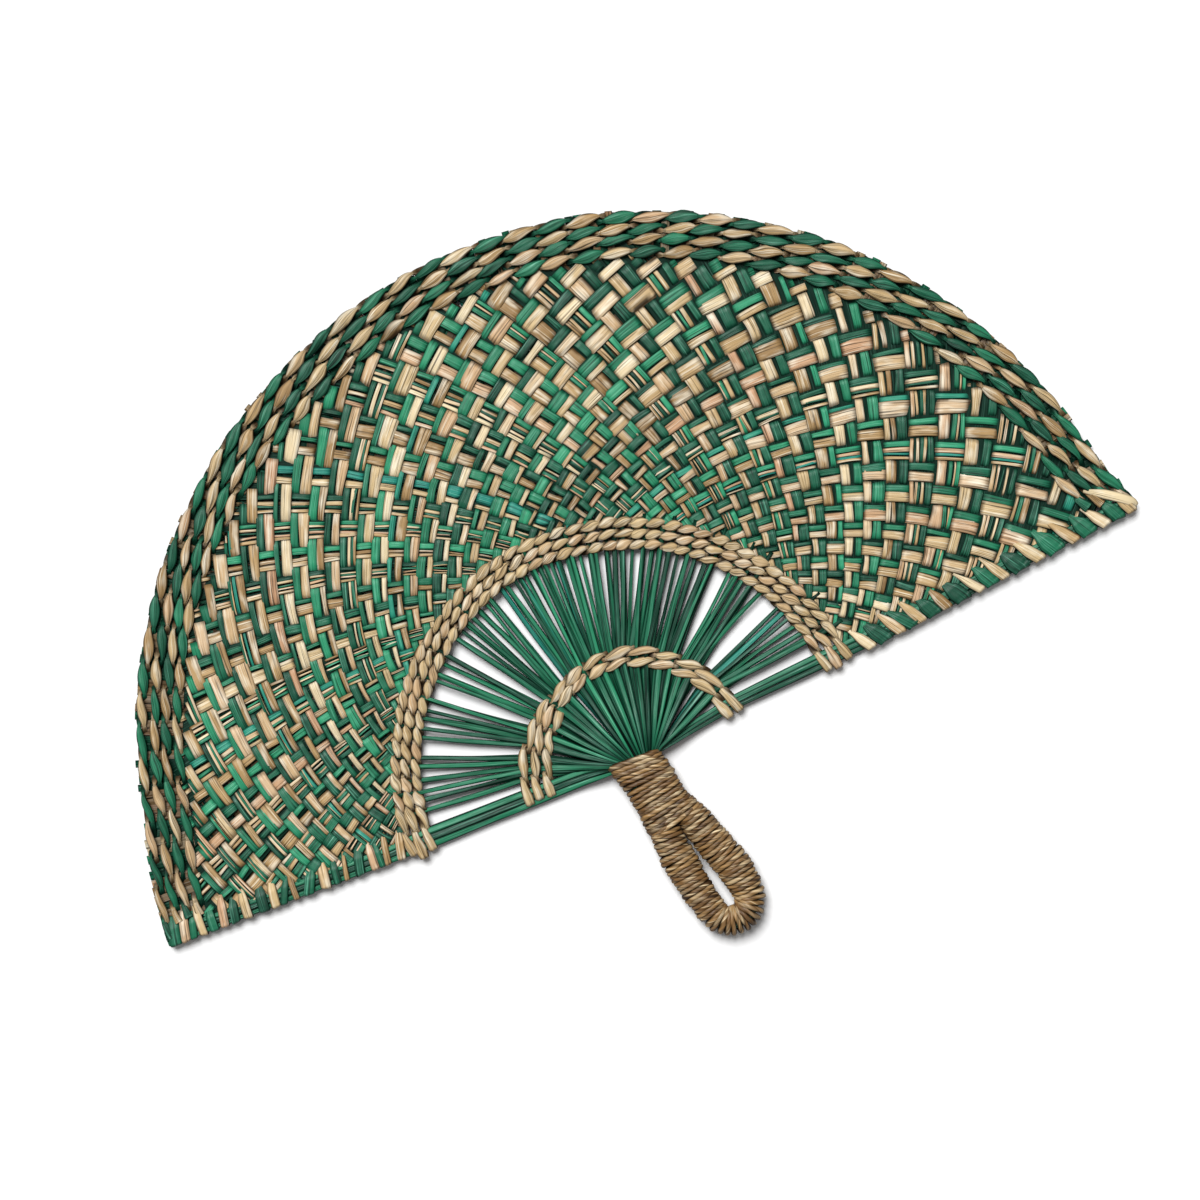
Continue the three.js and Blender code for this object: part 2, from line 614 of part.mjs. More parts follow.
function neckCore() {
  const rings = [];
  for (let step = 0; step <= NECK_STEPS; step += 1) {
    const down = lerp(NECK_START, NECK_LENGTH, step / NECK_STEPS);
    const ring = [];
    for (const side of [1, -1]) {
      for (let corner = 0; corner <= ROUND_SIDES / 2; corner += 1) {
        const angle = degrees((360 * corner) / ROUND_SIDES - side * 90);
        ring.push(neckPoint(down, side, angle, LEG_CORE_RADIUS));
      }
    }
    rings.push(ring);
  }
  return loft(rings);
}

// A point round one side of the neck, by the angle about that side's middle
function neckPoint(down, side, angle, radius) {
  const across = side * legHalfSpacing(down) + radius * Math.cos(angle);
  return new THREE.Vector3(across, -down, HANDLE_HEIGHT + radius * Math.sin(angle));
}

function handleCore(path) {
  const loop = new THREE.ExtrudeGeometry(circleShape(LEG_CORE_RADIUS, ROUND_SIDES), {
    steps: LOOP_PATH_STEPS,
    extrudePath: path,
  });
  return geometryOf(solidOf(hubHead()).add(solidOf(neckCore())).add(solidOf(loop)));
}

// A cord's section: flat on the inside, crowned on the outside
const CORD_SECTION_SHARES = [[-0.36, -0.5], [0.36, -0.5], [0.5, 0.1], [0, 0.5], [-0.5, 0.1]];

// The cord round the neck, one unbroken tube that runs round a section with flat sides and
// round ends
function neckBinding() {
  const rings = [];
  const hair = 1 / (TURN_STEPS * TURN_STEPS);
  for (let step = 0; step <= NECK_TURNS * TURN_STEPS; step += 1) {
    const atSideChange = step > 0 && step % (TURN_STEPS / 2) === 0;
    for (const turn of atSideChange ? [step / TURN_STEPS - hair, step / TURN_STEPS] : [step / TURN_STEPS]) {
      const share = turn - Math.floor(turn);
      const down = NECK_CORD_START + turn * (NECK_CORD_WIDTH + TURN_GAP);
      rings.push(CORD_SECTION_SHARES.map(([sideways, out]) => neckPoint(
        down - sideways * NECK_CORD_WIDTH,
        share < 0.5 ? 1 : -1,
        degrees(360 * share - 90),
        BINDING_RADIUS + out * CORD_THICKNESS,
      )));
    }
  }
  reportLeastGap("neck binding", rings);
  return loft(rings);
}

// The cord round the loop. On the inside of the bend its turns are pressed narrow.
function loopBinding(path) {
  const length = path.getLength();
  const neckEnd = NECK_LENGTH - LEG_ROOT + SEAT_GAP;
  const pitch = (length - 2 * neckEnd + TURN_GAP) / (LOOP_TURNS + 1);
  const start = neckEnd + (pitch - TURN_GAP) / 2;
  const frameAt = (run) => {
    const along = path.getTangentAt(run / length);
    return { centre: path.getPointAt(run / length), along, inward: new THREE.Vector3(along.y, -along.x, 0) };
  };
  const rings = [];
  for (let step = 0; step <= LOOP_TURNS * TURN_STEPS; step += 1) {
    const run = start + (step / TURN_STEPS) * pitch;
    const turn = (step / TURN_STEPS) * 2 * Math.PI;
    const bend = frameAt(run + pitch / 2).along.sub(frameAt(run - pitch / 2).along);
    const curvature = bend.dot(frameAt(run).inward) / pitch;
    const narrowing = 1 - curvature * (BINDING_RADIUS + CORD_THICKNESS / 4) * Math.cos(turn);
    const spread = pitch - TURN_GAP / narrowing;
    rings.push(CORD_SECTION_SHARES.map(([sideways, out]) => {
      const { centre, inward } = frameAt(run + sideways * spread);
      const radius = BINDING_RADIUS + out * CORD_THICKNESS;
      centre.addScaledVector(inward, radius * Math.cos(turn));
      centre.z += radius * Math.sin(turn);
      return centre;
    }));
  }
  reportLeastGap("loop binding", rings);
  return loft(rings);
}

// Prints how near a winding comes to itself, between ring points over half a turn apart
function reportLeastGap(name, rings) {
  let least = Infinity;
  for (let i = 0; i < rings.length; i += 1) {
    for (let j = i + TURN_STEPS / 2; j < rings.length; j += 1) {
      for (const a of rings[i]) {
        for (const b of rings[j]) {
          least = Math.min(least, a.distanceTo(b));
        }
      }
    }
  }
  console.log(`${name}: least gap to itself ${least.toFixed(2)} mm`);
}

const rightEnd = edgeEnd(0);
const leftEnd = edgeEnd(RIB_COUNT - 1);

place(fan, "edge_rib_right", edgeRib(0, rightEnd), "green_straw");
place(fan, "edge_rib_left", edgeRib(RIB_COUNT - 1, leftEnd), "green_straw");
for (let number = 1; number < RIB_COUNT - 1; number += 1) {
  place(fan, `rib_${String(number).padStart(2, "0")}`, rib(number), "green_straw");
}

const innerWidths = { stitch: INNER_STITCH_WIDTH, crossing: INNER_CROSSING_WIDTH };
const innerRadiusAt = (row) => (angle) => INNER_BAND_RADIUS + row * INNER_ROW_PITCH + innerShift(angle);
for (let row = 0; row < INNER_ROW_COUNT; row += 1) {
  twineBand(`inner_band_row_${row + 1}`, innerRadiusAt(row), innerStitches(innerRadiusAt(row)), innerWidths);
}
const shortStitches = innerStitches(innerRadiusAt(-1)).slice(-SHORT_ROW_GROUPS);
twineBand("inner_band_short_row", innerRadiusAt(-1), shortStitches, innerWidths);

const middleWidths = { stitch: MIDDLE_STITCH_WIDTH, crossing: MIDDLE_CROSSING_WIDTH };
for (let row = 0; row < MIDDLE_ROW_COUNT; row += 1) {
  const radiusAt = (angle) => MIDDLE_BAND_RADIUS + row * MIDDLE_ROW_PITCH + middleShift(angle);
  twineBand(`middle_band_row_${row + 1}`, radiusAt, middleStitches(), middleWidths);
}

place(fan, "woven_panel", wovenPanel(), "woven_straw");
for (let row = 0; row < RIM_ROW_COUNT; row += 1) {
  place(fan, `rim_row_${row + 1}`, rimRow(row), "rim_straw");
}
place(fan, "hem_right", hem(0, rightEnd), "woven_straw");
place(fan, "hem_left", hem(RIB_COUNT - 1, leftEnd), "woven_straw");

const loopPath = new LoopPath();
place(handle, "handle_core", handleCore(loopPath), "green_straw");
place(handle, "neck_binding", neckBinding(), "seagrass_cord");
place(handle, "loop_binding", loopBinding(loopPath), "seagrass_cord");

// The whole part is centred over its own box and stands on its underside
const part = new THREE.Group();
part.add(fan);
part.updateMatrixWorld(true);
const bounds = new THREE.Box3().setFromObject(fan, true);
fan.position.set(-(bounds.min.x + bounds.max.x) / 2, -(bounds.min.y + bounds.max.y) / 2, -bounds.min.z);

export default part;
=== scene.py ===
import math

import bpy
import numpy as np
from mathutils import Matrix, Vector


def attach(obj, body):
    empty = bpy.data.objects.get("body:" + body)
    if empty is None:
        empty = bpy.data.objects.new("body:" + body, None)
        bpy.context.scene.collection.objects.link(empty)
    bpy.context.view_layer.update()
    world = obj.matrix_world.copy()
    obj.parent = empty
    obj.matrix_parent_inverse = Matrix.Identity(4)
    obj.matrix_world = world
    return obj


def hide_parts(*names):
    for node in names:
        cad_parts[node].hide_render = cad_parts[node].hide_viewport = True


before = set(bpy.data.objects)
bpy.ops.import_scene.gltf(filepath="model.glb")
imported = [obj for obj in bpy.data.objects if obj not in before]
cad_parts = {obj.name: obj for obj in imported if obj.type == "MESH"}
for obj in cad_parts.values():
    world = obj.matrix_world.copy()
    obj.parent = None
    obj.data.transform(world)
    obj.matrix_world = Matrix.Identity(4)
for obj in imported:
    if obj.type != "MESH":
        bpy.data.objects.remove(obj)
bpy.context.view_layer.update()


# ---------------------------------------------------------------------------------------------
# Open straws: split seagrass leaves, dyed green and folded flat, laid in layers that all run
# out of the mouth of the handle. The inner band squeezes them into 11 groups, which open again
# towards the middle band. Together they stand for the 35 open ribs of the frame.
MM = 0.001
# Heights of the middle of the blade and of the handle, in millimetres
MID_HEIGHT = 3.2
HANDLE_HEIGHT = 5.4
RIB_COUNT = 37
FIRST_RIB = math.radians(4.1)
RIB_PITCH = math.radians(173.25) / (RIB_COUNT - 1)
# The straws' meeting point in the row frame, in millimetres
HUB = np.array([-9.302, -63.088, 0.0])

# Across and up, as shares of half the width and half the thickness, round the section, and how much
# painted shade the leaf gets in its folds and along its edges
FOLDED_LEAF = [
    (-1, 0, 1), (-0.8, 0.6, 0.8), (-0.45, 1, 0), (-0.1, 0.88, 0.12), (0.3, 1, 0),
    (0.74, 0.72, 0.6), (1, 0, 1), (0.7, -0.8, 1), (-0.7, -0.8, 1),
]

# Every uneven size and place comes from this one seeded source
chance = np.random.default_rng(11)


def smoothstep(value, low, high):
    share = np.clip((np.asarray(value, float) - low) / (high - low), 0, 1)
    return share * share * (3 - 2 * share)


def mix(a, b, share):
    return a + (b - a) * share


def polar(radius, angle, height):
    """Points in millimetres in the row frame, from a radius and an angle about the hub."""
    radius, angle, height = np.broadcast_arrays(radius, angle, height)
    return np.stack([radius * np.cos(angle), radius * np.sin(angle), height], 1) + HUB


def drift(count, spacing, size):
    """A smooth random walk of that size, with a new value every spacing samples."""
    knots = chance.normal(0, size, int(count / spacing) + 4)
    place = np.arange(count) / spacing + 1
    low = place.astype(int)
    share = smoothstep(place - low, 0, 1)
    return knots[low] * (1 - share) + knots[low + 1] * share


def straw(
    line, half_width, half_height, section,
    across=None, roll=0.0, tone=None, under=0.0, sides=(-0.4, 0.5),
):
    """One straw: a section carried along a line. Gives its corners, its faces, its first and last
    ring, its fibre coordinates, which are millimetres along it, millimetres across it and a tone
    of its own from 0 to 1, and its painted shade: in its folds and along its edges, where it runs
    under, and down its sides, between two shares of its half height."""
    count, corners_round = len(line), len(section)
    tangent = np.gradient(line, axis=0)
    tangent /= np.linalg.norm(tangent, axis=1, keepdims=True)
    if across is None:
        across = np.cross([0, 0, 1], tangent)
    across = across - tangent * np.sum(across * tangent, axis=1, keepdims=True)
    across /= np.linalg.norm(across, axis=1, keepdims=True)
    up = np.cross(tangent, across)
    top = up
    roll = np.broadcast_to(roll, count)[:, None]
    across, up = across * np.cos(roll) + up * np.sin(roll), up * np.cos(roll) - across * np.sin(roll)
    half_width = np.broadcast_to(half_width, count)
    half_height = np.broadcast_to(half_height, count)
    sideways, upward, dark = np.array(section, float).T
    aside = (
        across[:, None] * (half_width[:, None] * sideways)[..., None]
        + up[:, None] * (half_height[:, None] * upward)[..., None]
    )
    corners = line[:, None] + aside
    lift = np.sum(aside * top[:, None], axis=2) / half_height[:, None]
    # Painted shade: darker down the lower sides, in the folds and along the edges, and where the straw
    # runs under
    shade_down_sides = 1 - smoothstep(lift, *sides)
    painted_shade = np.maximum(np.maximum(shade_down_sides, dark), np.broadcast_to(under, count)[:, None])
    run = np.concatenate([[0], np.cumsum(np.linalg.norm(np.diff(line, axis=0), axis=1))])
    fibre = np.empty((count, corners_round, 3))
    # Each straw is cut from anywhere in half a metre of leaf
    fibre[..., 0] = (run + chance.uniform(0, 500))[:, None]
    fibre[..., 1] = half_width.max() * sideways
    fibre[..., 2] = chance.uniform(0, 1) if tone is None else np.broadcast_to(tone, count)[:, None]
    rings = np.arange(count * corners_round).reshape(count, corners_round)
    a, b = rings[:-1], rings[1:]
    faces = np.stack([a, b, np.roll(b, -1, 1), np.roll(a, -1, 1)], -1).reshape(-1, 4)
    return corners.reshape(-1, 3), faces, rings[0][::-1], rings[-1], fibre.reshape(-1, 3), painted_shade.ravel()


def piece(name, straws, material, nodes):
    """Joins straws into one mesh that rides on the fan and stands for those CAD nodes."""
    corners, faces, fibre, painted_shade, base = [], [], [], [], 0
    for points, quads, first, last, coordinates, depth in straws:
        corners.append(points)
        fibre.append(coordinates)
        painted_shade.append(depth)
        faces += (quads + base).tolist() + [(first + base).tolist(), (last + base).tolist()]
        base += len(points)
    mesh = bpy.data.meshes.new(name)
    mesh.from_pydata(np.concatenate(corners) * MM, [], faces)
    # Each corner carries its painted shade to the materials as an attribute
    for label, kind, key, values in (
        ("fibre", "FLOAT_VECTOR", "vector", fibre), ("painted_shade", "FLOAT", "value", painted_shade),
    ):
        attribute = mesh.attributes.new(label, kind, "POINT")
        attribute.data.foreach_set(key, np.concatenate(values).ravel())
    mesh.polygons.foreach_set("use_smooth", [True] * len(mesh.polygons))
    mesh.materials.append(material)
    made = bpy.data.objects.new(name, mesh)
    bpy.context.scene.collection.objects.link(made)
    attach(made, "root")
    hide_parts(*nodes)


def linear(colour):
    """An sRGB hex colour as the linear colour that a socket takes."""
    channels = [int(colour[i:i + 2], 16) / 255 for i in (1, 3, 5)]
    return [c / 12.92 if c <= 0.04045 else ((c + 0.055) / 1.055) ** 2.4 for c in channels] + [1]


def add(material, kind, settings=None, **links):
    """Adds a node. Settings are its properties, and links are its inputs, by name or, as i0, i1
    and so on, by number: a value, or a node's output."""
    node = material.node_tree.nodes.new(kind)
    for key, value in (settings or {}).items():
        setattr(node, key, value)
    for key, value in links.items():
        socket = node.inputs[int(key[1:]) if key[1:].isdigit() else key.replace("_", " ")]
        if isinstance(value, bpy.types.NodeSocket):
            material.node_tree.links.new(value, socket)
        else:
            socket.default_value = value
    return node


def straw_material(name, tones, shade, worn_and_highlight, wear, streaks_and_highlights, roughness, coat):
    """Seagrass leaf. Tones are the colours that straws differ by, shade is the colour of the fine lines
    between its fibres and of the painted shade in its crevices, and the pale colour that of worn fibres
    and of painted highlights. Wear is how far whole stretches of a straw pale to that colour, and the
    streak share how far its fibres do, in pale lines along them that are partly painted highlight."""
    material = bpy.data.materials.new(name)
    material.use_nodes = True
    links = material.node_tree.links
    shader = material.node_tree.nodes["Principled BSDF"]
    fibre = add(material, "ShaderNodeAttribute", {"attribute_name": "fibre"}).outputs["Vector"]
    # The painted shade that each straw carries as an attribute
    painted_shade = add(material, "ShaderNodeAttribute", {"attribute_name": "painted_shade"}).outputs["Fac"]
    # Fibres run on for 25 mm and lie 0.2 mm apart on the leaf, drawn 0.6 mm apart so that they
    # show, and the dye and the drying leave blotches some 10 mm long
    fine, blotch = (
        add(
            material, "ShaderNodeTexNoise", {"noise_dimensions": "3D"},
            Scale=1.0, Detail=2.0, Roughness=grit,
            Vector=add(
                material, "ShaderNodeVectorMath", {"operation": "MULTIPLY"}, i0=fibre, i1=per_mm,
            ).outputs["Vector"],
        ).outputs["Fac"]
        for per_mm, grit in (((0.04, 1.7, 90), 0.6), ((0.1, 0.3, 70), 0.5))
    )
    tone = add(material, "ShaderNodeSeparateXYZ", Vector=fibre).outputs["Z"]
    body = add(material, "ShaderNodeValToRGB", Fac=tone)
    elements = body.color_ramp.elements
    while len(elements) < len(tones):
        elements.new(0.5)
    for element, (place, tone_colour) in zip(elements, tones):
        element.position = place
        element.color = linear(tone_colour)
    # Worn stretches, the dark lines of the fibres, pale fibre lines that are partly painted highlight,
    # and last the painted shade in the crevices: each grows between two values of its pattern
    colour = body.outputs["Color"]
    for pattern, low, high, most, tint in (
        (blotch, 0.5, 0.75, wear, worn_and_highlight),
        (fine, 0.45, 0.32, 0.8, shade),
        # Pale fibre lines, partly painted highlight
        (fine, 0.57, 0.7, streaks_and_highlights, worn_and_highlight),
        # Painted shade in the crevices
        (painted_shade, 0.1, 1.0, 0.92, shade),
    ):
        share = add(material, "ShaderNodeMapRange", i0=pattern, i1=low, i2=high, i3=0.0, i4=most)
        tinted = add(
            material, "ShaderNodeMix", {"data_type": "RGBA"},
            i0=share.outputs[0], i6=colour, i7=linear(tint),
        )
        colour = tinted.outputs[2]
    links.new(colour, shader.inputs["Base Color"])
    # The specular level follows the painted shade: full on the ridges, nearly none in the crevices
    gloss = add(material, "ShaderNodeMapRange", i0=painted_shade, i1=0.0, i2=0.8, i3=0.4, i4=0.05)
    links.new(gloss.outputs[0], shader.inputs["Specular IOR Level"])
    rough = add(
        material, "ShaderNodeMapRange",
        i0=fine, i1=0.3, i2=0.7, i3=roughness + 0.12, i4=roughness - 0.06,
    )
    links.new(rough.outputs[0], shader.inputs["Roughness"])
    bump = add(material, "ShaderNodeBump", Strength=1.0, Distance=0.0006, Height=fine)
    links.new(bump.outputs["Normal"], shader.inputs["Normal"])
    shader.inputs["Coat Weight"].default_value = coat
    shader.inputs["Coat Roughness"].default_value = 0.4
    return material


# Seagrass dyed in a hot bath: the waxy leaf takes the green unevenly and keeps a soft gloss
dyed_seagrass = straw_material(
    "hot_dyed_seagrass_leaf",
    [(0.0, "#124735"), (0.35, "#19694c"), (0.7, "#21835d"), (0.92, "#309e71"), (1.0, "#208d7d")],
    shade="#010f0a", worn_and_highlight="#7dccae", wear=0.1, streaks_and_highlights=0.45, roughness=0.42, coat=0.1,
)


def rib_angle(rib):
    return FIRST_RIB + rib * RIB_PITCH


def edge_height(radius):
    """The straws come down from the handle's height to the blade's."""
    return MID_HEIGHT + (HANDLE_HEIGHT - MID_HEIGHT) * (1 - smoothstep(radius, 7, 30))


# Each group of straws, from the right: how many leaves it has, how many lie side by side at the
# middle band, and the degrees between which it lies at the inner band and at the middle band
MOUTH_HALF = 7.0
STRAW_GROUPS = (
    (9, 6, 17.5, 28.5, 10.0, 25.5),
    (7, 4, 33.5, 43.8, 33.0, 42.5),
    (8, 5, 46.4, 59.2, 44.5, 57.0),
    (8, 5, 59.8, 73.5, 57.5, 69.0),
    (9, 6, 74.2, 86.0, 69.8, 84.0),
    (9, 6, 87.4, 98.2, 84.0, 95.5),
    (9, 6, 98.4, 109.2, 95.0, 106.8),
    (10, 7, 112.6, 124.2, 108.2, 124.2),
    (6, 4, 127.0, 136.0, 127.0, 137.6),
    (7, 5, 140.6, 149.4, 139.8, 152.6),
    (9, 6, 154.2, 166.4, 154.4, 171.8),
)


def open_straw(free, at_inner, at_middle, layer):
    """One leaf, straight from the mouth of the handle to the inner band, and on from there to the
    middle band, by its angles at the three: layer 0 lowest, layer 2 on top."""
    count = 64
    mouth, inner, middle, end = 0.8, 39, 84, 92
    radius = np.linspace(mouth, end, count)
    stack = (layer - 1) * 1.5 * (1 - smoothstep(radius, 14, 33)) * smoothstep(radius, -4, 9)
    spread = (layer - 1) * mix(0.75, 1.0, 1 - smoothstep(radius, 5, 35))
    height = edge_height(radius) + stack + spread + drift(count, 12, 0.12)
    widths = [1.1, 1.6, 2.4, 2.9, 2.4, 2.1, 2.0, 1.8]
    width = np.interp(radius, [0, 8, 20, 31, 38, 46, 70, 92], widths) * chance.uniform(0.7, 1.15)
    knots = [mouth, inner, middle, end]
    turns = np.array([free, at_inner, at_middle, at_middle])
    across_mouth = [MOUTH_HALF, inner, middle, end] * np.cos(turns)
    x = np.interp(radius, knots, across_mouth) + drift(count, 14, 0.2)
    y = np.interp(radius, knots, knots * np.sin(turns)) + drift(count, 14, 0.2)
    line = np.stack([x, y, height], 1) + HUB
    roll = chance.normal(0, 0.3) + drift(count, 20, 0.25)
    # Painted shade: deep in the bundle, on the lower layers and under the bands the leaves are darkened
    layer_shade = ((1, 0.95, 0.85, 0.6, 0.25), (1, 0.75, 0.55, 0.2, 0.0), (0.7, 0.1, 0, 0, 0))
    under = np.interp(radius, [0, 12, 30, 44, 60], layer_shade[layer])
    shade_under_inner_band = smoothstep(radius, 36, 37) * (1 - smoothstep(radius, 39.5, 40.5))
    shade_under_bands = shade_under_inner_band + smoothstep(radius + 3.3 * math.cos(at_middle), 79, 82)
    return straw(line, width / 2, 0.55, FOLDED_LEAF, roll=roll, under=np.maximum(under, 0.85 * shade_under_bands))


leaves = []
leaf_total = sum(group[0] for group in STRAW_GROUPS)
for count, places, *spans in STRAW_GROUPS:
    inner_low, inner_high, middle_low, middle_high = np.radians(spans)
    for number in range(count):
        share = (number + 0.5) / count
        free = mix(rib_angle(0.3), rib_angle(RIB_COUNT - 1.3), (len(leaves) + 0.5) / leaf_total)
        at_inner = mix(inner_low, inner_high, share + chance.normal(0, 0.03))
        place = (number * places // count + 0.5) / places
        at_middle = mix(middle_low, middle_high, place + chance.normal(0, 0.12 / places))
        layer = (0, 2, 1, 0)[number % 4]
        leaves.append((free + chance.normal(0, 0.03), at_inner, at_middle, layer))
# One leaf has come loose from its group on the right
leaves.append((*np.radians([36.0, 36.6, 30.2]), 1))
leaves.sort(key=lambda leaf: leaf[-1])
piece(
    "open_straws", [open_straw(*leaf) for leaf in leaves], dyed_seagrass,
    [f"rib_{rib:02d}" for rib in range(1, RIB_COUNT - 1)],
)


# ---------------------------------------------------------------------------------------------
# Edge ribs: the first and the last bundle of dyed leaves, laid side by side with a slow twist.
# They are the straight edges of the blade and run on under the hems to its two tips.
EDGE_WIDTH = 5.8
TIP_REACH = {"right": 209.0, "left": 190.0}
EDGE_RIBS = {"right": 0, "left": RIB_COUNT - 1}


def edge_rib(side):
    straws = []
    count = 110
    angle = rib_angle(EDGE_RIBS[side])
    radius = np.linspace(0.8, TIP_REACH[side], count)
    knots = [3, 10, 28, 45, 80, TIP_REACH[side]]
    width = np.interp(radius, knots, [2.0, 2.6, 3.8, 4.6, EDGE_WIDTH, EDGE_WIDTH * 0.85])
    sideways = np.array([-math.sin(angle), math.cos(angle), 0.0])
    # Between the mouth of the handle and the middle band the right one bows inwards, and the
    # left one spreads inwards
    if side == "right":
        bow = np.interp(radius, [0, 16, 40, 78, 100], [0, 1.0, 2.6, 1.1, 0])
    else:
        spread = np.interp(radius, [0, 8, 20, 36, 60, 85, 100], [0, 1.0, 2.4, 2.2, 1.6, 1.2, 0])
        width, bow = width + spread, -spread / 2
    twist = chance.uniform(0, 6) + radius / 150
    # Two leaves lie below and three above, at these shares of the width and millimetres up
    for place, lift in ((-0.36, -0.7), (0.34, -0.7), (-0.37, 0.5), (0.0, 0.85), (0.37, 0.45)):
        turn = 0.35 * np.sin(twist)
        offset = place * width * np.cos(turn) + bow + drift(count, 16, 0.15)
        height = edge_height(radius) + lift * np.clip(radius / 60, 0.5, 1)
        height = height + place * width * np.sin(turn) * 0.6
        line = polar(radius, angle, height) + offset[:, None] * sideways
        line[:, 0] += 4.5 * math.cos(angle) * (1 - smoothstep(radius, 3, 26))
        roll = -place * 0.9 + chance.normal(0, 0.12) + drift(count, 18, 0.12)
        straws.append(straw(line, width * 0.21, 0.48, FOLDED_LEAF, roll=roll))
    return straws


for side in EDGE_RIBS:
    piece(f"edge_straws_{side}", edge_rib(side), dyed_seagrass, [f"edge_rib_{side}"])


# ---------------------------------------------------------------------------------------------
# Twined bands: undyed seagrass, worked round the straws in rows. A row is one strand folded
# round the edge rib, whose two halves cross after each stitch, so its top shows pointed leaves.

# The rows wander, as handwork does: their radii in millimetres at angles in degrees
INNER_STITCH_DEGREES = (6.5, 26, 40.4, 53, 66, 79.8, 92.4, 104.5, 117.3, 130.7, 144, 158.8, 174.5)
INNER_ROWS = (
    (36.6, 36.3, 36.1, 36.8, 36.5, 36.7, 36.7, 36.3, 36.3, 38.0, 39.0, 39.5, 40.7),
    (41.0, 40.3, 40.1, 40.1, 40.7, 40.8, 40.6, 39.8, 39.5, 40.8, 41.9, 43.6, 44.8),
)
INNER_SHORT_ROW = (34.0, 34.8, 34.9, 35.8)
MIDDLE_ROW_DEGREES = (4, 20, 40, 60, 80, 90, 100, 120, 150, 177)
MIDDLE_ROWS = (
    (77.8, 78.2, 78.8, 80.3, 81.2, 82.6, 83.3, 84.0, 83.7, 84.6),
    (82.1, 82.2, 82.9, 84.3, 85.4, 86.5, 87.2, 87.7, 87.8, 88.6),
    (86.2, 86.2, 87.0, 88.4, 89.4, 90.5, 91.2, 91.5, 91.6, 92.5),
)
MIDDLE_STITCHES = 43
# Which of the straw's tones the stitches have, and how many steps each is drawn in
BAND_TONES = (0.36, 0.64)
STITCH_STEPS = 12

# Undyed leaf dried in the sun: pale straw with tan and pinkish streaks and brown fibre lines
natural_seagrass = straw_material(
    "sun_dried_seagrass_leaf",
    [(0.0, "#98774b"), (0.25, "#bd9b69"), (0.5, "#d6bb8b"), (0.75, "#ca9c76"), (1.0, "#f0deb3")],
    shade="#2a190a", worn_and_highlight="#fff6df", wear=0.78, streaks_and_highlights=0.75, roughness=0.48, coat=0.1,
)


def leaf_section(ridges, depth):
    """A lens whose surface carries lengthwise ridges, where the leaf folds on itself, with painted
    shade in its grooves and along its edges.
    """
    turns = np.linspace(0, 2 * math.pi, 22, endpoint=False)[::-1]
    groove = 0.5 + 0.5 * np.cos(ridges * turns)
    # Painted shade in the grooves and along the edges
    dark = np.maximum(0.4 * groove, np.abs(np.cos(turns)) ** 3)
    return [(math.cos(t), math.sin(t) * (1 - depth * g), d) for t, g, d in zip(turns, groove, dark)]


TWINED_LEAF = leaf_section(5, 0.3)


def twined_strand(place, radius_at, angles, starts_over, sizes, tones, wraps=(True, True)):
    """One half of a twined row. It lies over one stitch and under the next. Place turns radius,
    angle and height into points. Sizes are its rise over a stitch, sway to the side where the
    halves cross, widths at both, thickness, half the width of what it ends on, and how pointed
    its leaves are. Where it ends on top of an edge rib it can wrap round it."""
    count = len(angles)
    steps = np.linspace(0, count - 1, (count - 1) * STITCH_STEPS + 1)
    stitch = np.arange(count)

    def uneven(size):
        return np.interp(steps, stitch, chance.normal(0, size, count))

    angle = np.interp(steps, stitch, angles + chance.normal(0, 0.08, count) * np.gradient(angles))
    rise, sway, stitch_width, crossing_width, thickness, edge_half, point = (
        size(angle) if callable(size) else np.full(len(angle), float(size)) for size in sizes
    )
    turn = math.pi * (steps + (0 if starts_over else 1))
    over = np.cos(turn)
    at_end = np.maximum(1 - steps, steps - (count - 2)).clip(0, 1) * (over > 0)
    # The halves stay on top for longer than below, so that neighbouring leaves lie side by side
    height = MID_HEIGHT + rise * (over + 0.6 * (1 - over * over)) * (1 + uneven(0.1))
    radius = radius_at(angle) - sway * np.sin(turn) * (1 + uneven(0.2)) * (1 - 0.5 * at_end) + uneven(0.2)
    leaf = np.maximum(np.abs(over) ** point, at_end * 0.9)
    # Painted shade where the half dives under the other, except at its ends
    under = np.maximum(1 - smoothstep(over, -0.5, 0.3) - at_end, 0)
    tone = chance.uniform(*tones, count)[np.round(steps).astype(int)]
    half_width = (crossing_width + (stitch_width * (1 + uneven(0.12)) - crossing_width) * leaf) / 2
    half_height = thickness / 2 * (0.75 + 0.25 * np.abs(over))
    line = place(radius, angle, height)
    across = np.cross([0, 0, 1], np.gradient(line, axis=0) * [1, 1, 0])
    roll = -0.3 * np.sin(turn) + uneven(0.2)
    for end in (0, 1):
        if over[-end] < 0 or not wraps[end]:
            continue
        last = len(line) - 1 if end else 0
        away = (line[last] - line[last - 4 if end else 4]) * [1, 1, 0]
        away /= np.linalg.norm(away)
        bend = np.linspace(0.1, math.pi, 12)
        tail = line[last] + away * (edge_half[-end] - 0.4 + 0.9 * np.sin(bend))[:, None]
        tail[:, 2] = MID_HEIGHT + (line[last][2] - MID_HEIGHT) * np.cos(bend)
        tail = np.vstack([tail, tail[-1] - away * edge_half[-end] * 1.5])
        flat = np.zeros(len(tail))
        parts = [
            (line, tail),
            (half_width, flat + stitch_width[-end] * 0.45),
            (half_height, flat + thickness[-end] * 0.35),
            (across, np.tile(across[last], (len(tail), 1))),
            (roll, flat),
            (under, flat),
            (tone, flat + tone[last]),
        ]
        if not end:
            parts = [(added[::-1], made) for made, added in parts]
        line, half_width, half_height, across, roll, under, tone = (
            np.concatenate(pair) for pair in parts
        )
    return straw(
        line, half_width, half_height, TWINED_LEAF, across=across, roll=roll, tone=tone, under=under,
    )


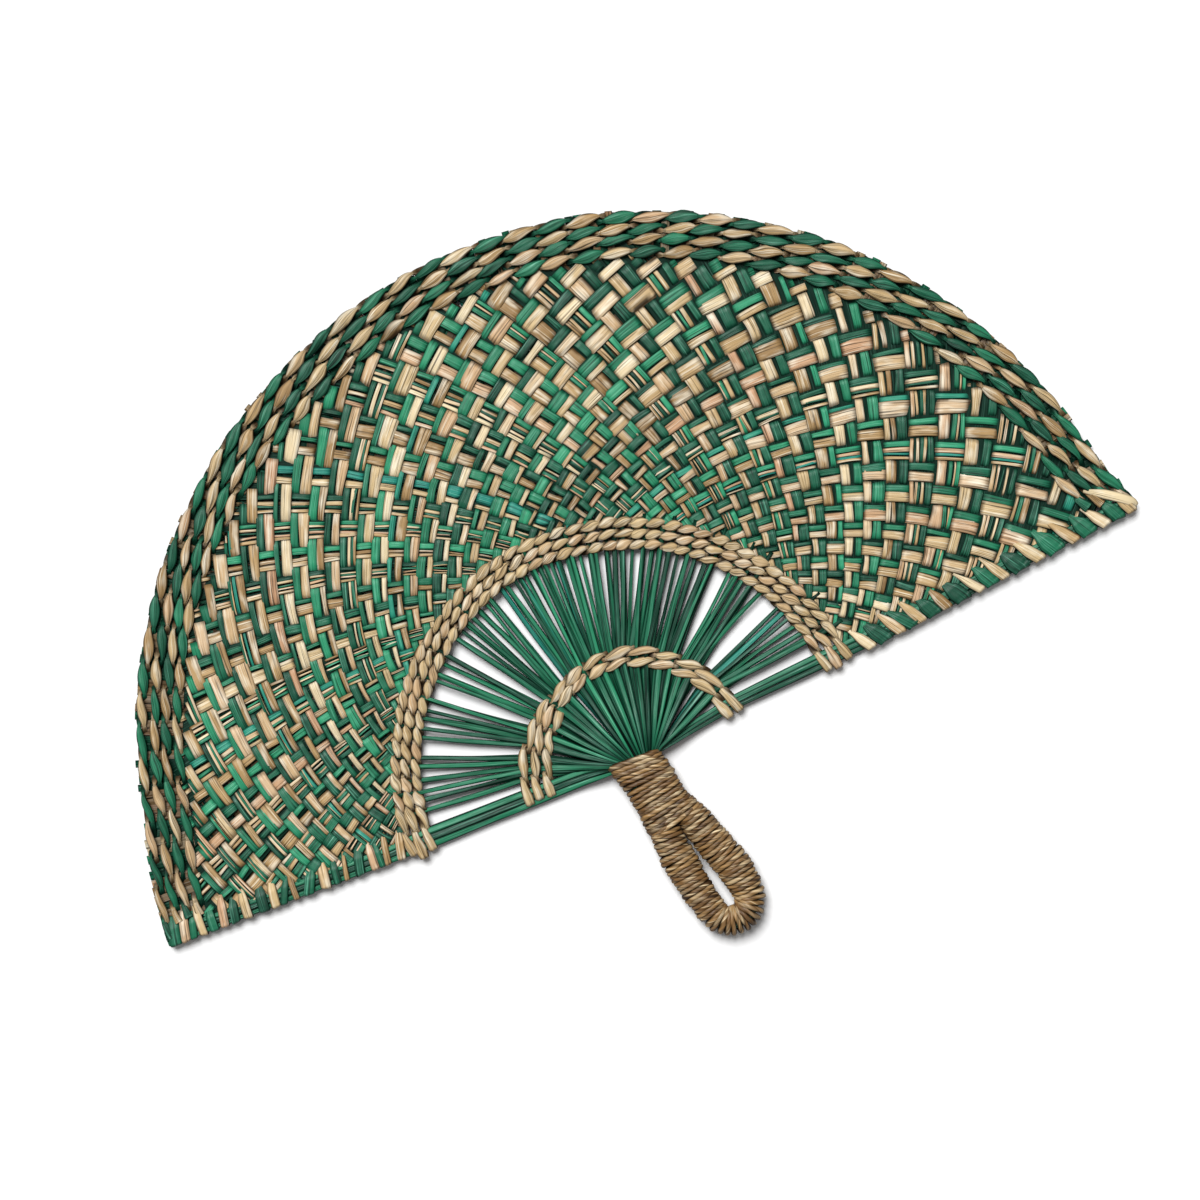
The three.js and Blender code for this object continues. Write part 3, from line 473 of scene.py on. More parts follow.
def band_row(name, row_angles, radii, angles, sizes):
    """Both halves of a row whose radii are given at row_angles."""
    radius_at = lambda angle: np.interp(angle, row_angles, radii)
    strands = [
        twined_strand(polar, radius_at, angles, starts_over, sizes, BAND_TONES)
        for starts_over in (True, False)
    ]
    piece(name, strands, natural_seagrass, [f"{name}_strand_{half}" for half in "ab"])


inner_angles = np.radians(INNER_STITCH_DEGREES)
inner_sizes = (1.6, 0.95, 3.9, 1.5, 1.6, 2.6, 0.85)
for row, radii in enumerate(INNER_ROWS, 1):
    band_row(f"inner_band_row_{row}", inner_angles, radii, inner_angles, inner_sizes)
band_row("inner_band_short_row", inner_angles[-4:], INNER_SHORT_ROW, inner_angles[-4:], inner_sizes)
# The stitches next to the edge ribs are 1.7 times as long as the others
first, last = rib_angle(0), rib_angle(RIB_COUNT - 1)
lead = 1.7 * (last - first) / MIDDLE_STITCHES
between = np.linspace(first + lead, last - lead, MIDDLE_STITCHES - 2)
middle_angles = np.concatenate([[first], between, [last]])
middle_sizes = (1.5, 0.85, 3.8, 1.4, 1.5, 3.0, 0.85)
for row, radii in enumerate(MIDDLE_ROWS, 1):
    band_row(f"middle_band_row_{row}", np.radians(MIDDLE_ROW_DEGREES), radii, middle_angles, middle_sizes)


# ---------------------------------------------------------------------------------------------
# Woven panel: the leaves split again beyond the middle band and are plaited slantwise in pairs,
# one natural and one green, each pair over one and under the next. One family leans clockwise
# on its way out and the other leans back, so the squares grow and open towards the rim.

# Angles between pairs are measured on a circle of this radius about the hub, and rho is the
# logarithm of a radius over it. Strips are drawn from the first rho to the last one, then cut
WEAVE_RADIUS = 92.0
FIRST_RHO = math.log(85.0 / WEAVE_RADIUS)
LAST_RHO = 0.76
WEAVE_LEVEL = math.radians(2.65)
PAIR_PITCH = 0.0838
WEAVE_RISE = 0.75
# How far the strips stay from the edge ribs' middle lines, and how many of the rim's rows they
# stop short of the outer edge
PANEL_MARGIN = 1.2
STOP_ROWS = {"a": 4.1, "b": 3.5}
SHADE_BACKING_STOP_ROWS = 2.5
# The rim's arc, from the hub
ARC_CENTRE = np.array([9.6, 7.6])
ARC_RADIUS = 194.8

# The same for a leaf that is opened flat: a shallow crease stays along its midrib
FLAT_STRIP = [
    (-1, -0.1, 1), (-0.9, 0.7, 0.5), (-0.4, 1, 0), (0.1, 0.86, 0.1), (0.5, 1, 0),
    (0.92, 0.66, 0.5), (1, -0.1, 1), (0.85, -0.9, 1), (-0.85, -0.9, 1),
]
SEAGRASS = {"natural": natural_seagrass, "green": dyed_seagrass}


def outer_radius(angle):
    """The blade's outer edge, from the arc's centre."""
    right = 1 - smoothstep(angle, 0, math.radians(9))
    left = 1 - smoothstep(math.pi - angle, 0, math.radians(14))
    return ARC_RADIUS + right * 6 + left * 5


def row_pitch(angle):
    """How far apart the rim's rows lie."""
    right = 1 - smoothstep(angle, 0, math.radians(45))
    left = 1 - smoothstep(math.pi - angle, 0, math.radians(45))
    return mix(mix(4.4, 4.7, right), 4.6, left)


def bend_of(family, angle):
    """How the slant of a family grows on its way out, at the right edge, the middle and the left."""
    values = {"a": (0.1, 0.75, 2.4), "b": (-0.25, -0.33, -0.65)}[family]
    return np.polyval(np.polyfit(np.radians([2.65, 86.5, 177.35]), values, 2), angle)


def lean_of(family, rho, angle):
    """How far a family's pair has turned about the hub by that rho."""
    start = {"a": 1.05, "b": 1.0}[family]
    return start * rho + 0.5 * rho * rho * bend_of(family, angle)


def pair_line(family, level, rho):
    """Angles about the hub of a pair's line, at each rho, the logarithm of its radius."""
    sign = {"a": -1, "b": 1}[family]
    angle = np.full(len(rho), level)
    # The lean depends on the angle that it leads to, so both are brought together step by step
    for _ in range(25):
        angle = mix(angle, level + sign * lean_of(family, rho, np.clip(angle, 0, math.pi)), 0.6)
    return angle


def edge_axes(side):
    """The directions along an edge rib, and from it into the blade."""
    angle = rib_angle(EDGE_RIBS[side])
    along = np.array([math.cos(angle), math.sin(angle), 0.0])
    inward = np.array([-math.sin(angle), math.cos(angle), 0.0]) * (1 if side == "right" else -1)
    return along, inward


def inside_panel(points, rows):
    """Which points lie between the two edge ribs, outside the middle band's last row, and inside
    the rim by that many of its rows."""
    local = points[:, :2] - HUB[:2]
    keep = np.ones(len(points), bool)
    for side in EDGE_RIBS:
        keep &= local @ edge_axes(side)[1][:2] > PANEL_MARGIN
    angle = np.arctan2(local[:, 1], local[:, 0])
    last_row = np.interp(angle, np.radians(MIDDLE_ROW_DEGREES), MIDDLE_ROWS[-1])
    keep &= np.linalg.norm(local, axis=1) > last_row
    about = local - ARC_CENTRE
    angle = np.arctan2(about[:, 1], about[:, 0])
    return keep & (np.linalg.norm(about, axis=1) < outer_radius(angle) - rows * row_pitch(angle))


# What a pair is made of: each strip's colour, its place across the pair and its share of width,
# and how often each kind of pair comes
PAIR_KINDS = (
    (("natural", -0.23, 1.0), ("green", 0.27, 1.0)),
    (("natural", -0.2, 1.22), ("green", 0.33, 0.7)),
    (("natural", -0.28, 0.75), ("green", 0.2, 1.25)),
    (("natural", -0.35, 0.48), ("natural", -0.11, 0.44), ("green", 0.27, 1.0)),
    (("natural", -0.38, 0.3), ("green", -0.22, 0.4), ("natural", -0.03, 0.4), ("green", 0.3, 0.85)),
    (("natural", -0.24, 0.95), ("green", 0.12, 0.5), ("natural", 0.25, 0.16), ("green", 0.38, 0.45)),
    (
        ("natural", -0.37, 0.35), ("natural", -0.2, 0.25), ("green", -0.04, 0.3),
        ("natural", 0.1, 0.25), ("green", 0.33, 0.6),
    ),
)
PAIR_CHANCES = (0.4, 0.18, 0.15, 0.07, 0.06, 0.09, 0.05)
# How much wider than elsewhere the strips of a family are on the left and on the right
LEFT_WIDTHS = {"a": {"natural": 1.12, "green": 1.0}, "b": {"natural": 0.85, "green": 0.64}}
RIGHT_WIDTHS = {"a": {"natural": 0.97, "green": 0.76}, "b": {"natural": 1.0, "green": 1.0}}


def left_part(angle):
    """From 0 to 1, where family b's pairs lie apart and family a's cross the gaps between them."""
    begun = smoothstep(angle, math.radians(92), math.radians(112))
    return begun * (1 - smoothstep(angle, math.radians(148), math.radians(168)))


def right_part(angle):
    """From 0 to 1, where the strips lie flat and far apart."""
    return 1 - smoothstep(angle, math.radians(50), math.radians(75))


def widening(family, colour, angle):
    """The share by which a family's strips of that colour are widened or slimmed there."""
    left, right = LEFT_WIDTHS[family][colour], RIGHT_WIDTHS[family][colour]
    return 1 + (left - 1) * left_part(angle) + (right - 1) * right_part(angle)


def pair_strips(family):
    """All strips of one family, as (colour, straw)."""
    made = []
    other = "b" if family == "a" else "a"
    rho = np.linspace(FIRST_RHO, LAST_RHO, 170)
    radius = WEAVE_RADIUS * np.exp(rho)
    first, last = (0, 54) if family == "a" else (-10, 37)
    for number in range(first, last):
        level = WEAVE_LEVEL + (number + 0.5) * PAIR_PITCH
        strips = PAIR_KINDS[chance.choice(len(PAIR_KINDS), p=PAIR_CHANCES)]
        # The last pairs before the left end of the middle band are split into thin straws
        if family == "b" and 32 < number < 36:
            strips = PAIR_KINDS[-1]
        # The natural strip is the clockwise one in family a, and the other one in family b,
        # where towards the left edge the pairs take turns
        facing = 1 if family == "a" else -1
        if family == "b" and number > 24 and number % 2:
            facing = 1
        heft = chance.uniform(0.86, 1.1)
        middle = pair_line(family, level, rho)
        for colour, offset, share in strips:
            wider = widening(family, colour, middle)
            angle = pair_line(family, level + facing * offset * PAIR_PITCH * wider, rho)
            line = polar(radius, angle, 0.0)
            keep = inside_panel(line, STOP_ROWS[family]) & (angle > 0) & (angle < math.pi)
            if keep.sum() < 8:
                continue
            start, stop = np.flatnonzero(keep)[[0, -1]]
            cut = slice(start, stop + 1)
            line, at, out = line[cut], angle[cut], rho[cut]
            count = len(out)
            # Distance between pairs, square to them
            slope = lean_of(family, out + 0.005, at) - lean_of(family, out - 0.005, at)
            spacing = radius[cut] * PAIR_PITCH * np.cos(np.arctan(slope / 0.01))
            # Near the middle band the natural strips are slimmer and the green ones wider
            crowd = (1 - smoothstep(out, 0.05, 0.5)) * np.clip(1.1 - ((at - 2.0) / 1.8) ** 2, 0, 1)
            wide = {"natural": mix(0.56, 0.29, crowd), "green": mix(0.46, 0.64, crowd)}[colour]
            widest = {"natural": 4.8, "green": 3.9}[colour]
            width = np.minimum(wide * spacing, widest) * share * heft * wider[cut]
            width = width * (1 + drift(count, 12, 0.14)) * (1.0 if family == "a" else 0.97)
            # Over and under: the other family's pairs lie at whole numbers of this count
            sign = {"a": 1, "b": -1}[other]
            crossed = (at + sign * lean_of(other, out, at) - WEAVE_LEVEL) / PAIR_PITCH - 0.5
            starts_over = (number % 2 == 0) == (family == "a")
            wave = 2.1 * np.cos(math.pi * crossed) * (1 if starts_over else -1)
            high = 0.8 * left_part(at) if family == "a" else 0
            wave = np.clip(wave + high, -1, 1)
            # Painted shade where the strip runs under the other family's pairs
            under = 1 - smoothstep(wave + 0.5 * high, -0.3, 0.8)
            line = line + np.stack([drift(count, 11, 0.24), drift(count, 11, 0.24), np.zeros(count)], 1)
            line[:, 2] = MID_HEIGHT + WEAVE_RISE * wave + drift(count, 9, 0.08)
            roll = drift(count, 9, 0.1)
            made.append((colour, straw(line, width / 2, 0.26, FLAT_STRIP, roll=roll, under=under)))
    return made


def shade_backing_leaves():
    """Leaves that lie straight between the two families, one beside each pair of family b, dark and
    hardly seen: a backing in the darkest tone with painted shade, which closes the holes where four
    pairs meet so that they show dark."""
    made = []
    rho = np.linspace(FIRST_RHO, LAST_RHO, 60)
    for number in range(-10, 38):
        angle = pair_line("b", WEAVE_LEVEL + number * PAIR_PITCH, rho)
        line = polar(WEAVE_RADIUS * np.exp(rho), angle, MID_HEIGHT - 0.1)
        keep = inside_panel(line, SHADE_BACKING_STOP_ROWS) & (angle > 0) & (angle < math.pi)
        if keep.sum() < 4:
            continue
        start, stop = np.flatnonzero(keep)[[0, -1]]
        cut = slice(start, stop + 1)
        share = mix(0.66, 0.95, right_part(angle[cut]))
        width = share * PAIR_PITCH * WEAVE_RADIUS * np.exp(rho[cut])
        # The darkest tone and painted shade, so that the holes show dark
        made.append(straw(line[cut], width / 2, 0.12, FLAT_STRIP, tone=0.0, under=0.8))
    return made


piece("woven_shade_backing_leaves", shade_backing_leaves(), dyed_seagrass, ["woven_panel"])
for family in "ab":
    strips = pair_strips(family)
    for colour, material in SEAGRASS.items():
        chosen = [strip for strip_colour, strip in strips if strip_colour == colour]
        piece(f"woven_{colour}_strips_{family}", chosen, material, ["woven_panel"])


# ---------------------------------------------------------------------------------------------
# Rim: four twined rows of one natural and one green strand each, worked over the ends of the
# plaited strips, so that the colours change places from stitch to stitch and from row to row.
RIM_ROWS = 4
RIM_STITCHES = 50
RIM_TONES = (0.12, 0.68)
# How far from the edge rib's middle line the rows meet the hem
HEM_SIDE = 4.3


def centred_on_arc(radius, angle, height):
    """Points in the row frame, from a radius and an angle about the arc's centre."""
    return polar(radius, angle, height) + [ARC_CENTRE[0], ARC_CENTRE[1], 0]


def hem_side_angle(side, radius, row):
    """The angle about the arc's centre at which a row of that radius meets the inner side of a
    hem. The outermost row runs on over the edge rib."""
    inward = edge_axes(side)[1][:2]
    turn = math.asin((HEM_SIDE * min(row, 1) - inward @ ARC_CENTRE) / radius)
    return rib_angle(EDGE_RIBS[side]) + (turn if side == "right" else -turn)


def rim_radius(angle, row, wander):
    """The middle of a row, which wanders by those millimetres at even steps of the angle."""
    wandered = np.interp(angle, np.linspace(0, math.pi, len(wander)), wander)
    return outer_radius(angle) - (row + 0.5) * row_pitch(angle) + wandered


def rim_leaf_width(angle):
    """The leaves are widest on top and slimmest at the left tip."""
    return np.interp(angle, np.radians([0, 50, 125, 180]), [3.9, 4.5, 4.4, 3.2])


for row in range(RIM_ROWS):
    wander = drift(400, 40, 0.25)
    radius_at = lambda angle: rim_radius(angle, row, wander)
    row_ends = [
        hem_side_angle(side, float(radius_at(math.pi * (side == "left"))), row) for side in EDGE_RIBS
    ]
    rim_angles = np.linspace(*row_ends, RIM_STITCHES)
    for colour, starts_over in (("natural", row % 2 == 0), ("green", row % 2 == 1)):
        rise = {"natural": 1.7, "green": 1.55}[colour]
        rim_sizes = (rise, 0.9, rim_leaf_width, 1.4, 1.6, 3.1, 0.95)
        strand = twined_strand(
            centred_on_arc, radius_at, rim_angles, starts_over, rim_sizes, RIM_TONES, (False, False),
        )
        name = f"rim_row_{row + 1}"
        piece(f"{name}_{colour}", [strand], SEAGRASS[colour], [name])

# The ends of the plaited strips run outwards under the stitches, four to a stitch, and are
# trimmed where they come out at the edge
strip_ends = {"natural": [], "green": []}
stitch_turn = (rim_angles[-1] - rim_angles[0]) / (RIM_STITCHES - 1)
for stitch in range(RIM_STITCHES - 1):
    for place in (-0.375, -0.125, 0.125, 0.375):
        at = rim_angles[0] + (stitch + place + 0.5) * stitch_turn
        colour = "natural" if chance.uniform() < 0.35 else "green"
        start = {"natural": -3.9, "green": -6.4}[colour] * row_pitch(at)
        out = np.linspace(start, chance.uniform(-1.6, 0.9), 10)
        height = MID_HEIGHT + {"natural": 0, "green": -0.8}[colour] + chance.normal(0, 0.15)
        line = centred_on_arc(outer_radius(at) + out, at + chance.normal(0, 0.001), height)
        # Painted shade where the ends run under the stitches
        under = 0.85 * (1 - smoothstep(out, -1.2, -0.2))
        end = straw(line, chance.uniform(1.35, 1.75), 0.28, FLAT_STRIP, under=under)
        strip_ends[colour].append(end)
for colour, material in SEAGRASS.items():
    piece(f"rim_strip_ends_{colour}", strip_ends[colour], material, ["rim_row_1"])


# ---------------------------------------------------------------------------------------------
# Hems: at each straight edge the plaited strips turn back round the edge rib in pairs, a green
# and a natural one, pulled tight so that their inner ends narrow to a point.

# Where along the edge ribs the strips lie, in millimetres from the hub, and their widths
HEM_STRIPS = {
    "right": {
        "natural": (
            (95, 3.4), (107.5, 3.4), (116.5, 3.2), (127.5, 3.4), (141, 3.0),
            (151.5, 3.2), (166, 3.8), (181, 3.6), (194, 3.8), (205.5, 3.4),
        ),
        "green": (
            (101, 5.0), (112, 4.0), (122, 4.8), (134, 5.4), (146.5, 4.6),
            (158.5, 5.8), (173.5, 6.0), (187.5, 5.4), (199.8, 4.6),
        ),
    },
    "left": {
        "natural": (
            (96, 3.2), (101.6, 2.4), (107, 3.0), (118, 1.8), (126.6, 4.2), (138.7, 2.2),
            (146.7, 3.4), (158, 3.6), (167, 3.2), (176, 3.2), (182.4, 3.4),
        ),
        "green": (
            (104.4, 2.2), (112.5, 3.6), (122, 2.8), (132.5, 3.8), (142.6, 2.6),
            (151.4, 4.0), (162.6, 3.4), (171.6, 3.4), (179.2, 2.6), (186.6, 4.6),
        ),
    },
}
# The share of a strip that lies on top, before it turns round the edge rib
ON_TOP = 0.62


def hem_strip(side, reach, width, slant, tuck, lift, tone):
    """From the panel over the edge rib, round its outer side and back underneath. On the right
    the strips open from a point, and on the left they keep more of their width."""
    along, inward = edge_axes(side)
    outer = 0.3 - EDGE_WIDTH / 2
    share = np.linspace(0, 1, 40)
    over = np.clip(share / ON_TOP, 0, 1)
    bend = np.clip((share - ON_TOP) / (1 - ON_TOP), 0, 1) * math.pi
    round_rib = outer - 0.8 * np.sin(bend) + 2.0 * smoothstep(share, 0.9, 1)
    offset = np.where(share < ON_TOP, mix(EDGE_WIDTH / 2 + tuck, outer, over), round_rib)
    rising = mix(MID_HEIGHT + 0.3, MID_HEIGHT + 1.9 + lift, smoothstep(over, 0, 0.5))
    rising = rising - 0.2 * smoothstep(over, 0.8, 1)
    height = np.where(share < ON_TOP, rising, MID_HEIGHT + (1.7 + lift) * np.cos(bend))
    line = HUB + along * (reach - slant * offset)[:, None] + inward * offset[:, None]
    line[:, 2] = height
    point, foot, opened = {"right": (0.4, 1.25, 0.42), "left": (0.65, 1.05, 0.25)}[side]
    half_width = width / 2 * mix(point, foot, smoothstep(share, 0.0, opened))
    half_width = half_width * mix(1.0, 0.9, smoothstep(share, 0.6, 0.8))
    across = np.tile(along if side == "right" else -along, (len(line), 1))
    roll = chance.normal(0, 0.1)
    return straw(line, half_width, 0.36, FLAT_STRIP, across=across, roll=roll, tone=tone)


def tip_leaf():
    """The leaf that runs on from the rim, closes the right tip and turns back underneath."""
    along, inward = edge_axes("right")
    # Along the edge rib, inwards from it, and up, in millimetres, with the corners rounded off by
    # a running mean
    knots = np.array([
        (193, 12.5, 1.2), (199, 8.2, 2.2), (204.5, 3.6, 2.4), (208, 0.2, 2.0),
        (208.8, -2.6, 0.2), (206.5, -1.6, -1.6), (201, 1.5, -1.7),
    ])
    count, window = 60, 9
    share = np.linspace(0, len(knots) - 1, count)
    bent = [np.interp(share, range(len(knots)), values) for values in knots.T]
    reach, offset, up = (
        np.convolve(np.pad(values, window // 2, "edge"), np.ones(window) / window, "valid")
        for values in bent
    )
    line = HUB + along * reach[:, None] + inward * offset[:, None]
    line[:, 2] = MID_HEIGHT + up
    half_width = np.interp(share, [0, 1.2, 3.0, 4.2, 6], [0.6, 1.9, 1.9, 1.6, 1.2])
    across = np.tile(along, (count, 1)) + inward * 0.6
    return straw(line, half_width, 0.5, FLAT_STRIP, across=across)


for side, colours in HEM_STRIPS.items():
    for colour, places in colours.items():
        lift, least_tuck = {"natural": (0.1, 3.4), "green": (-0.15, 2.4)}[colour]
        strips = []
        for reach, width in places:
            slant = chance.normal(*{"right": (0.52, 0.08), "left": (0.12, 0.12)}[side])
            tuck = chance.uniform(least_tuck, least_tuck + 2.6)
            tone = chance.uniform(0, {"natural": 1, "green": 0.5}[colour])
            strips.append(hem_strip(side, reach, width, slant, tuck, lift, tone))
        if (side, colour) == ("right", "natural"):
            strips.append(tip_leaf())
        piece(f"hem_{side}_{colour}", strips, SEAGRASS[colour], [f"hem_{side}"])


# ---------------------------------------------------------------------------------------------
# Handle: the straws' own ends, brought together at the hub, bent round into a loop and wound
# from end to end with rolled seagrass cord, so tightly that none of the core shows.
LEAN = math.radians(9.0)
CORD_PITCH = 1.7
CORD_RADIUS = 0.95
# The neck's left and right side, in millimetres from the handle's axis, at depths below the hub
NECK_DOWN = (0, 4, 8, 12, 16, 20, 24, 28)
NECK_SIDES = (
    (-12.1, -12.1, -11.6, -11.4, -11.5, -12.0, -12.3, -12.5),
    (8.2, 8.6, 8.7, 8.2, 8.2, 8.6, 9.4, 10.7),
)
NECK_END = 24.0
# The middle and the half width of the left and the right leg, at depths below the hub
LEG_DOWN = (24, 28, 32, 36, 40, 44, 48, 52, 56, 60, 62.5)
LEG_MIDDLES = (
    (-6.4, -6.5, -7.2, -7.8, -8.1, -8.0, -8.2, -8.2, -8.1, -7.9, -7.75),
    (4.5, 5.0, 5.6, 5.8, 6.2, 6.7, 7.6, 8.1, 8.1, 7.9, 7.75),
)
LEG_HALVES = (
    (6.0, 5.9, 6.3, 6.7, 6.8, 6.8, 6.5, 6.2, 6.0, 5.9, 5.8),
    (4.8, 5.6, 6.5, 6.4, 6.7, 7.0, 6.9, 7.0, 6.7, 6.5, 6.4),
)
LOOP_CENTRE_DOWN = 62.5
LOOP_RADIUS = 7.75
BEND_HALF = 5.5
# Half the handle's thickness, less the cord
HANDLE_DEPTH = 4.2
# Millimetres along the cord in which its twist goes round once
TWIST_PITCH = 12.0
ROUND_STRAW = [
    (math.cos(turn), math.sin(turn), 0) for turn in np.linspace(0, 2 * math.pi, 8, endpoint=False)[::-1]
]


def on_handle(points):
    """From the handle's own frame, whose loop hangs towards -y, to the row frame."""
    x, y, z = points.T
    cos, sin = math.cos(LEAN), math.sin(LEAN)
    return np.stack([x * cos - y * sin, x * sin + y * cos, z], 1) + HUB


def loop_path(run):
    """The loop's middle line and half width, by millimetres from the neck's end down the right
    leg and up the left one, and how long it is."""
    leg = LOOP_CENTRE_DOWN - NECK_END
    total = 2 * leg + math.pi * LOOP_RADIUS
    run = np.asarray(run, float)
    down = np.clip(np.minimum(run, total - run) + NECK_END, 0, LOOP_CENTRE_DOWN)
    turn = np.clip((run - leg) / LOOP_RADIUS, 0, math.pi)
    left, right = (
        [np.interp(down, LEG_DOWN, values) for values in side] for side in zip(LEG_MIDDLES, LEG_HALVES)
    )
    on_leg, half = np.where(run < total / 2, right, left)
    in_bend = (run > leg) & (run < total - leg)
    x = np.where(in_bend, LOOP_RADIUS * np.cos(turn), on_leg)
    y = np.where(in_bend, -LOOP_CENTRE_DOWN - LOOP_RADIUS * np.sin(turn), -down)
    half = mix(half, BEND_HALF, np.sin(turn))
    return np.stack([x, y, np.full(len(run), HANDLE_HEIGHT)], 1), half, total


loop_total = loop_path(np.zeros(1))[2]

# One straw in the middle and six round it
core_straws = []
for number in range(7):
    run = np.linspace(-NECK_END + 2, loop_total + NECK_END - 2, 120)
    middle = loop_path(np.clip(run, 0, loop_total))[0]
    middle[:, 1] += np.maximum(np.maximum(-run, run - loop_total), 0)
    tangent = np.gradient(middle, axis=0)
    tangent /= np.linalg.norm(tangent, axis=1, keepdims=True)
    turn = 2 * math.pi * number / 6
    away = 0.0 if number == 6 else 2.0
    line = middle + np.cross([0, 0, 1], tangent) * away * math.cos(turn) + [0, 0, away * math.sin(turn)]
    core_straws.append(straw(on_handle(line), 1.15, 1.0, ROUND_STRAW))
piece("handle_core_straws", core_straws, dyed_seagrass, ["handle_core"])

# Seagrass rolled into a cord by hand: tan and glossy, with pale fibre lines that are partly
# painted highlight, and painted shade in its grooves
rolled_cord = straw_material(
    "hand_rolled_seagrass_cord",
    [(0.0, "#664827"), (0.5, "#87643b"), (1.0, "#a68150")],
    shade="#1a0d05", worn_and_highlight="#f8e2b6", wear=0.5, streaks_and_highlights=0.9, roughness=0.42, coat=0.2,
)


def wound_cord(line, outward, turn):
    """A rolled cord with three ridges. It swells and thins as it goes, and its tone changes from
    turn to turn. Turns are counted from the underside."""
    tangent = np.gradient(line, axis=0)
    across = on_handle(np.cross(outward, tangent)) - HUB
    run = np.concatenate([[0], np.cumsum(np.linalg.norm(np.diff(line, axis=0), axis=1))])
    size = 1.04 + drift(len(line), 22, 0.1)
    turns = np.linspace(0, 2 * math.pi, 15, endpoint=False)[::-1]
    crest = np.abs(np.cos(1.5 * turns))
    away = 0.86 + 0.14 * crest
    # Painted shade in the grooves between the ridges
    section = np.stack([np.cos(turns) * away, np.sin(turns) * away, 0.8 * (1 - crest) ** 2], 1)
    roll = run * 2 * math.pi / TWIST_PITCH + drift(len(line), 40, 0.5)
    tone = chance.uniform(0, 1, int(turn[-1]) + 1)[turn.astype(int)]
    # Painted shade down the sides of each turn, where it lies against its neighbours
    return straw(
        on_handle(line), CORD_RADIUS * 1.15 * size, CORD_RADIUS * 1.05 * size, section,
        across=across, roll=roll, tone=tone, sides=(0.5, 0.97),
    )


def neck_cord():
    """Turns round both legs together, parallel to the blade's straight edge at the mouth."""
    turns = (NECK_END + 5.0) / CORD_PITCH
    count = int(turns * 96)
    turn = np.linspace(0, turns, count)
    down = CORD_PITCH * turn - 1.6
    angle = 2 * math.pi * turn - math.pi / 2
    outward = np.stack([np.cos(angle), np.zeros(count), np.sin(angle)], 1)
    left, right = (np.interp(down, NECK_DOWN, side) for side in NECK_SIDES)
    flat = (right - left) / 2 - HANDLE_DEPTH - CORD_RADIUS
    uneven = drift(count, 40, 0.2)
    x = (left + right) / 2 + flat * np.clip(np.cos(angle) * 1.9, -1, 1)
    x = x + (HANDLE_DEPTH + uneven) * np.cos(angle)
    dip = 1 - 0.08 * smoothstep(down, 10, 24) * np.cos(np.clip(x / 4, -1, 1) * math.pi / 2)
    slant = 0.2 * (1 - smoothstep(down, 2, 16)) + drift(count, 240, 0.03)
    y = -down - x * slant + drift(count, 30, 0.12)
    z = HANDLE_HEIGHT + (HANDLE_DEPTH - np.abs(uneven)) * np.sin(angle) * dip
    line = np.stack([x, y, z], 1)
    return wound_cord(line, outward, turn)


def loop_cord():
    """Turns round the one leg, the bend and the other leg, packed tight inside the bend."""
    turns = int((loop_total + 4) / CORD_PITCH)
    count = turns * 66
    turn = np.linspace(0, turns, count)
    run = -2.0 + turn / turns * (loop_total + 4)
    middle, half, _ = loop_path(np.clip(run, 0.01, loop_total - 0.01))
    middle[:, 1] += np.maximum(np.maximum(-run, run - loop_total), 0)
    tangent = np.gradient(middle, axis=0)
    tangent /= np.maximum(np.linalg.norm(tangent, axis=1, keepdims=True), 1e-9)
    sideways = np.stack([tangent[:, 1], -tangent[:, 0], np.zeros(count)], 1)
    angle = 2 * math.pi * turn
    outward = sideways * np.cos(angle)[:, None] + np.array([0, 0, 1.0]) * np.sin(angle)[:, None]
    uneven = drift(count, 40, 0.2)
    across = half - CORD_RADIUS + uneven
    lengthwise = drift(count, 28, 0.13) + 0.35 * np.sin(angle + 0.8)
    line = middle + sideways * (across * np.cos(angle))[:, None] + tangent * lengthwise[:, None]
    line[:, 2] += (HANDLE_DEPTH - np.abs(uneven)) * np.sin(angle)
    return wound_cord(line, outward, turn + 0.25)


piece("neck_cord", [neck_cord()], rolled_cord, ["neck_binding"])
piece("loop_cord", [loop_cord()], rolled_cord, ["loop_binding"])


# ---------------------------------------------------------------------------------------------
# Surroundings: the fan lies flat on a plain white floor under a large soft lamp, and the camera
# looks straight down with the handle towards the lower right, as in the photograph.
FLOOR_HEIGHT = -0.0002
FLOOR_HALF = 6
UP_IN_PHOTO = Vector((0.399, 0.917, 0))
RIGHT_IN_PHOTO = Vector((0.917, -0.399, 0))
# The width in metres that the camera sees, and the height at which it sees it
FRAME_WIDTH = 0.45
FRAME_HEIGHT = 0.004

